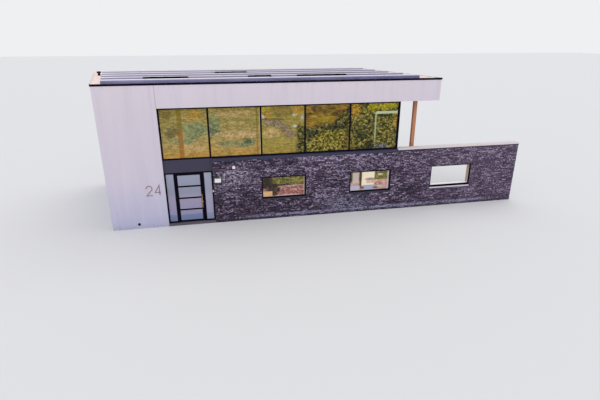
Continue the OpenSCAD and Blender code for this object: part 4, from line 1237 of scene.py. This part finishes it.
# How far out and in they reach, and how steeply they fall inwards.
JOINT_FACE, JOINT_IN, JOINT_FALL = -0.0215, 0.030, math.atan2(0.005, 0.050)
LENS_X, LENS_Y = (4.371, 4.604), (-0.093, -0.027)
LENS_Z = ((1.890, 1.897), (2.038, 2.046))
CAP_T, CAP_Y, CAP_Z = 0.003, (-0.0395, 0.0385), (SILL_FOOT - 0.002, WINDOW_Z[0] + 0.012)
# The end of the band: length, depth, and how much its far end is thinned and raised.
BAND_END_L, BAND_D, BAND_THINNED, BAND_RAISED = 0.68, 0.030, 0.35, 0.020
POST_X, POST_Y, POST_W, SHOE_T = 13.510, 0.520, 0.160, 0.008
BOLT_Z = (0.085, 0.130)


def lamp_lens(z):
    """The lens in one end of the wall lamp: a plate with a raised rim."""
    plate = block("lens", LENS_X, LENS_Y, z)
    return soften(work(plate, towards(0, 0, 1), inset(0.006), inset(0.002, -0.003)), 0.0008)


def trim_cover(x):
    """A cover plate over a joint of the roof trim: a plate in front and one that falls inwards."""
    across = (x - JOINT_HALF, x + JOINT_HALF)
    front = block("trim_cover", across, (JOINT_FACE, TRIM_FACE), (TRIM_FOOT, TRIM_TOP))
    top = block("trim_cover_top", across, (JOINT_FACE, JOINT_IN), (0, JOINT_T))
    top.data.transform(move(0, TRIM_FACE, ROOF_Z + 0.050) @ turned(-JOINT_FALL, "X")
                       @ move(0, -TRIM_FACE, 0))
    return joined([soften(front, 0.0004), soften(top, 0.0004)], "trim_cover")


def sill_caps(places, name):
    """Small upstands that close both ends of each sill."""
    caps = [block(name, (x + at, x + at + CAP_T), CAP_Y, CAP_Z)
            for x in places for at in (0.0, WINDOW_W - CAP_T)]
    return joined([soften(cap, 0.001) for cap in caps], name)


def band_end():
    """The end of the metal band, which gets thinner under the garden wall's coping."""
    band = block("band_end", (HOUSE_W, HOUSE_W + BAND_END_L), (-PROUD - BAND_D, -PROUD),
                 (BRICK_TOP - 0.012, GARDEN_TOP - 0.002))
    work(band, towards(1, 0, 0), (bpy.ops.transform.resize, dict(value=(1, 1, BAND_THINNED))),
         (bpy.ops.transform.translate, dict(value=(0, 0, BAND_RAISED))))
    return soften(band, 0.002)


def disc(name, sides, radius, depth, width):
    """A flat disc or hexagon that faces left and right, with its edges eased by a width."""
    return soften(added(name, bpy.ops.mesh.primitive_cylinder_add, vertices=sides, radius=radius,
                        depth=depth, rotation=(0, math.pi / 2, 0)), width)


def shoe_bolt(side, z):
    """A hexagon head on a washer, on one side plate of the post's shoe."""
    head = disc("bolt_head", 6, 0.011, 0.008, 0.001)
    washer = disc("bolt_washer", 24, 0.017, 0.003, 0.0008)
    head.data.transform(move(side * 0.007))
    washer.data.transform(move(side * 0.0015))
    bolt = joined([head, washer], "shoe_bolt")
    face = POST_X + (POST_W + SHOE_T if side > 0 else -SHOE_T)
    bolt.data.transform(move(face, POST_Y + POST_W / 2, z))
    return bolt


done(joined([lamp_lens(z) for z in LENS_Z], "lamp_lenses"), "rubber")
done(joined([trim_cover(x) for x in JOINTS], "roof_trim_covers"), "trim")
done(sill_caps(FRONT_WINDOWS, "sill_end_caps"), "slate")
done(at_back(sill_caps(BACK_WINDOWS, "back_sill_end_caps")), "slate")
done(band_end(), "band")
done(joined([shoe_bolt(side, z) for side in (-1, 1) for z in BOLT_Z], "shoe_bolts"),
     "aluminium")


# ---- Roof edge ----

# Side of a handful, its number of pebbles, and where the loose strips end along each edge.
PATCH, PEBBLES = 0.5, 72
EDGE = TRIM_IN + 0.025
LEFT_STRIP, RIGHT_STRIP, BACK_STRIP = 0.35, ROOF_W - 0.95, DEPTH - 0.88
BACK_STRIP_X = (0.41, ROOF_W - 1.00)
SHADE_STRIP_PROUD, SHADE_STRIP_H = 0.008, 0.012
LIP_Y, LIP_TOP = (-0.0195, -0.0120), ROOF_Z + 0.064


def handful():
    """Loose pebbles over half a metre square, each squashed and turned its own way."""
    stones = []
    for index in range(PEBBLES):
        size = 0.012 + 0.009 * ((index * 37) % 11) / 11
        stones.append(added(
            "pebble", bpy.ops.mesh.primitive_ico_sphere_add, subdivisions=1, radius=size,
            location=(((index * 61) % 97) / 97 * 0.48, ((index * 43) % 89) / 89 * 0.48, size * 0.3),
            rotation=(index * 0.7, index * 1.3, index * 2.1),
            scale=(1.0, 0.75 + 0.2 * (index % 3) / 2, 0.6)))
    return joined(stones, "pebbles")


def pebbles(x, y):
    """Pebbles on the roof between two values of x, set out before the splay, and two of y."""
    field = copied(HANDFUL, move(x[0], y[0], GRAVEL_Z))
    repeat(field, math.ceil((x[1] - x[0]) / PATCH), (PATCH, 0, 0))
    repeat(field, math.ceil((y[1] - y[0]) / PATCH), (0, PATCH, 0))
    work(field, lambda face: face.center.x > x[1] or face.center.y > y[1],
         (bpy.ops.mesh.select_linked, {}), (bpy.ops.mesh.delete, dict(type="VERT")))
    field.data.transform(ALONG_SPLAY)
    return done(field, "gravel")


def trim_shade_strip():
    """A dark strip under the foot of the trim, all the way round: painted shade where the trim
    shades the fascia.
    """
    ring = added("trim_shade_strip", bpy.ops.mesh.primitive_plane_add, size=1,
                 location=(ROOF_W / 2, DEPTH / 2, TRIM_FOOT - SHADE_STRIP_H),
                 stretch=(ROOF_W + 2 * SHADE_STRIP_PROUD, DEPTH + 2 * SHADE_STRIP_PROUD, 1))
    work(ring, anywhere, inset(SHADE_STRIP_PROUD - 0.0002))
    work(ring, lambda face: face.area > ROOF_W * DEPTH * 0.5,
         (bpy.ops.mesh.delete, dict(type="FACE")))
    finish_with(ring, "SOLIDIFY", thickness=SHADE_STRIP_H, offset=1)
    ring.data.transform(ALONG_SPLAY)
    return soften(ring, 0.001)


HANDFUL = handful()
# Its dark stands for the shade under the trim.
done(trim_shade_strip(), "trim")
lip = block("trim_lip", (-0.016, ROOF_W + 0.014), LIP_Y, (TRIM_TOP, LIP_TOP))
done(soften(lip, 0.0015, 2), "trim")
pebbles((EDGE, LEFT_STRIP), (EDGE, DEPTH - EDGE))
pebbles((RIGHT_STRIP, ROOF_W - EDGE), (EDGE, DEPTH - EDGE))
pebbles(BACK_STRIP_X, (BACK_STRIP, DEPTH - EDGE))
bpy.data.objects.remove(HANDFUL)


# ---- Floor ----

floor = added("studio_floor", bpy.ops.mesh.primitive_plane_add, size=400,
              location=(0, 0, -0.003))
floor.data.materials.append(Finish("studio_floor", 0.9).colour((214, 214, 216)).material)
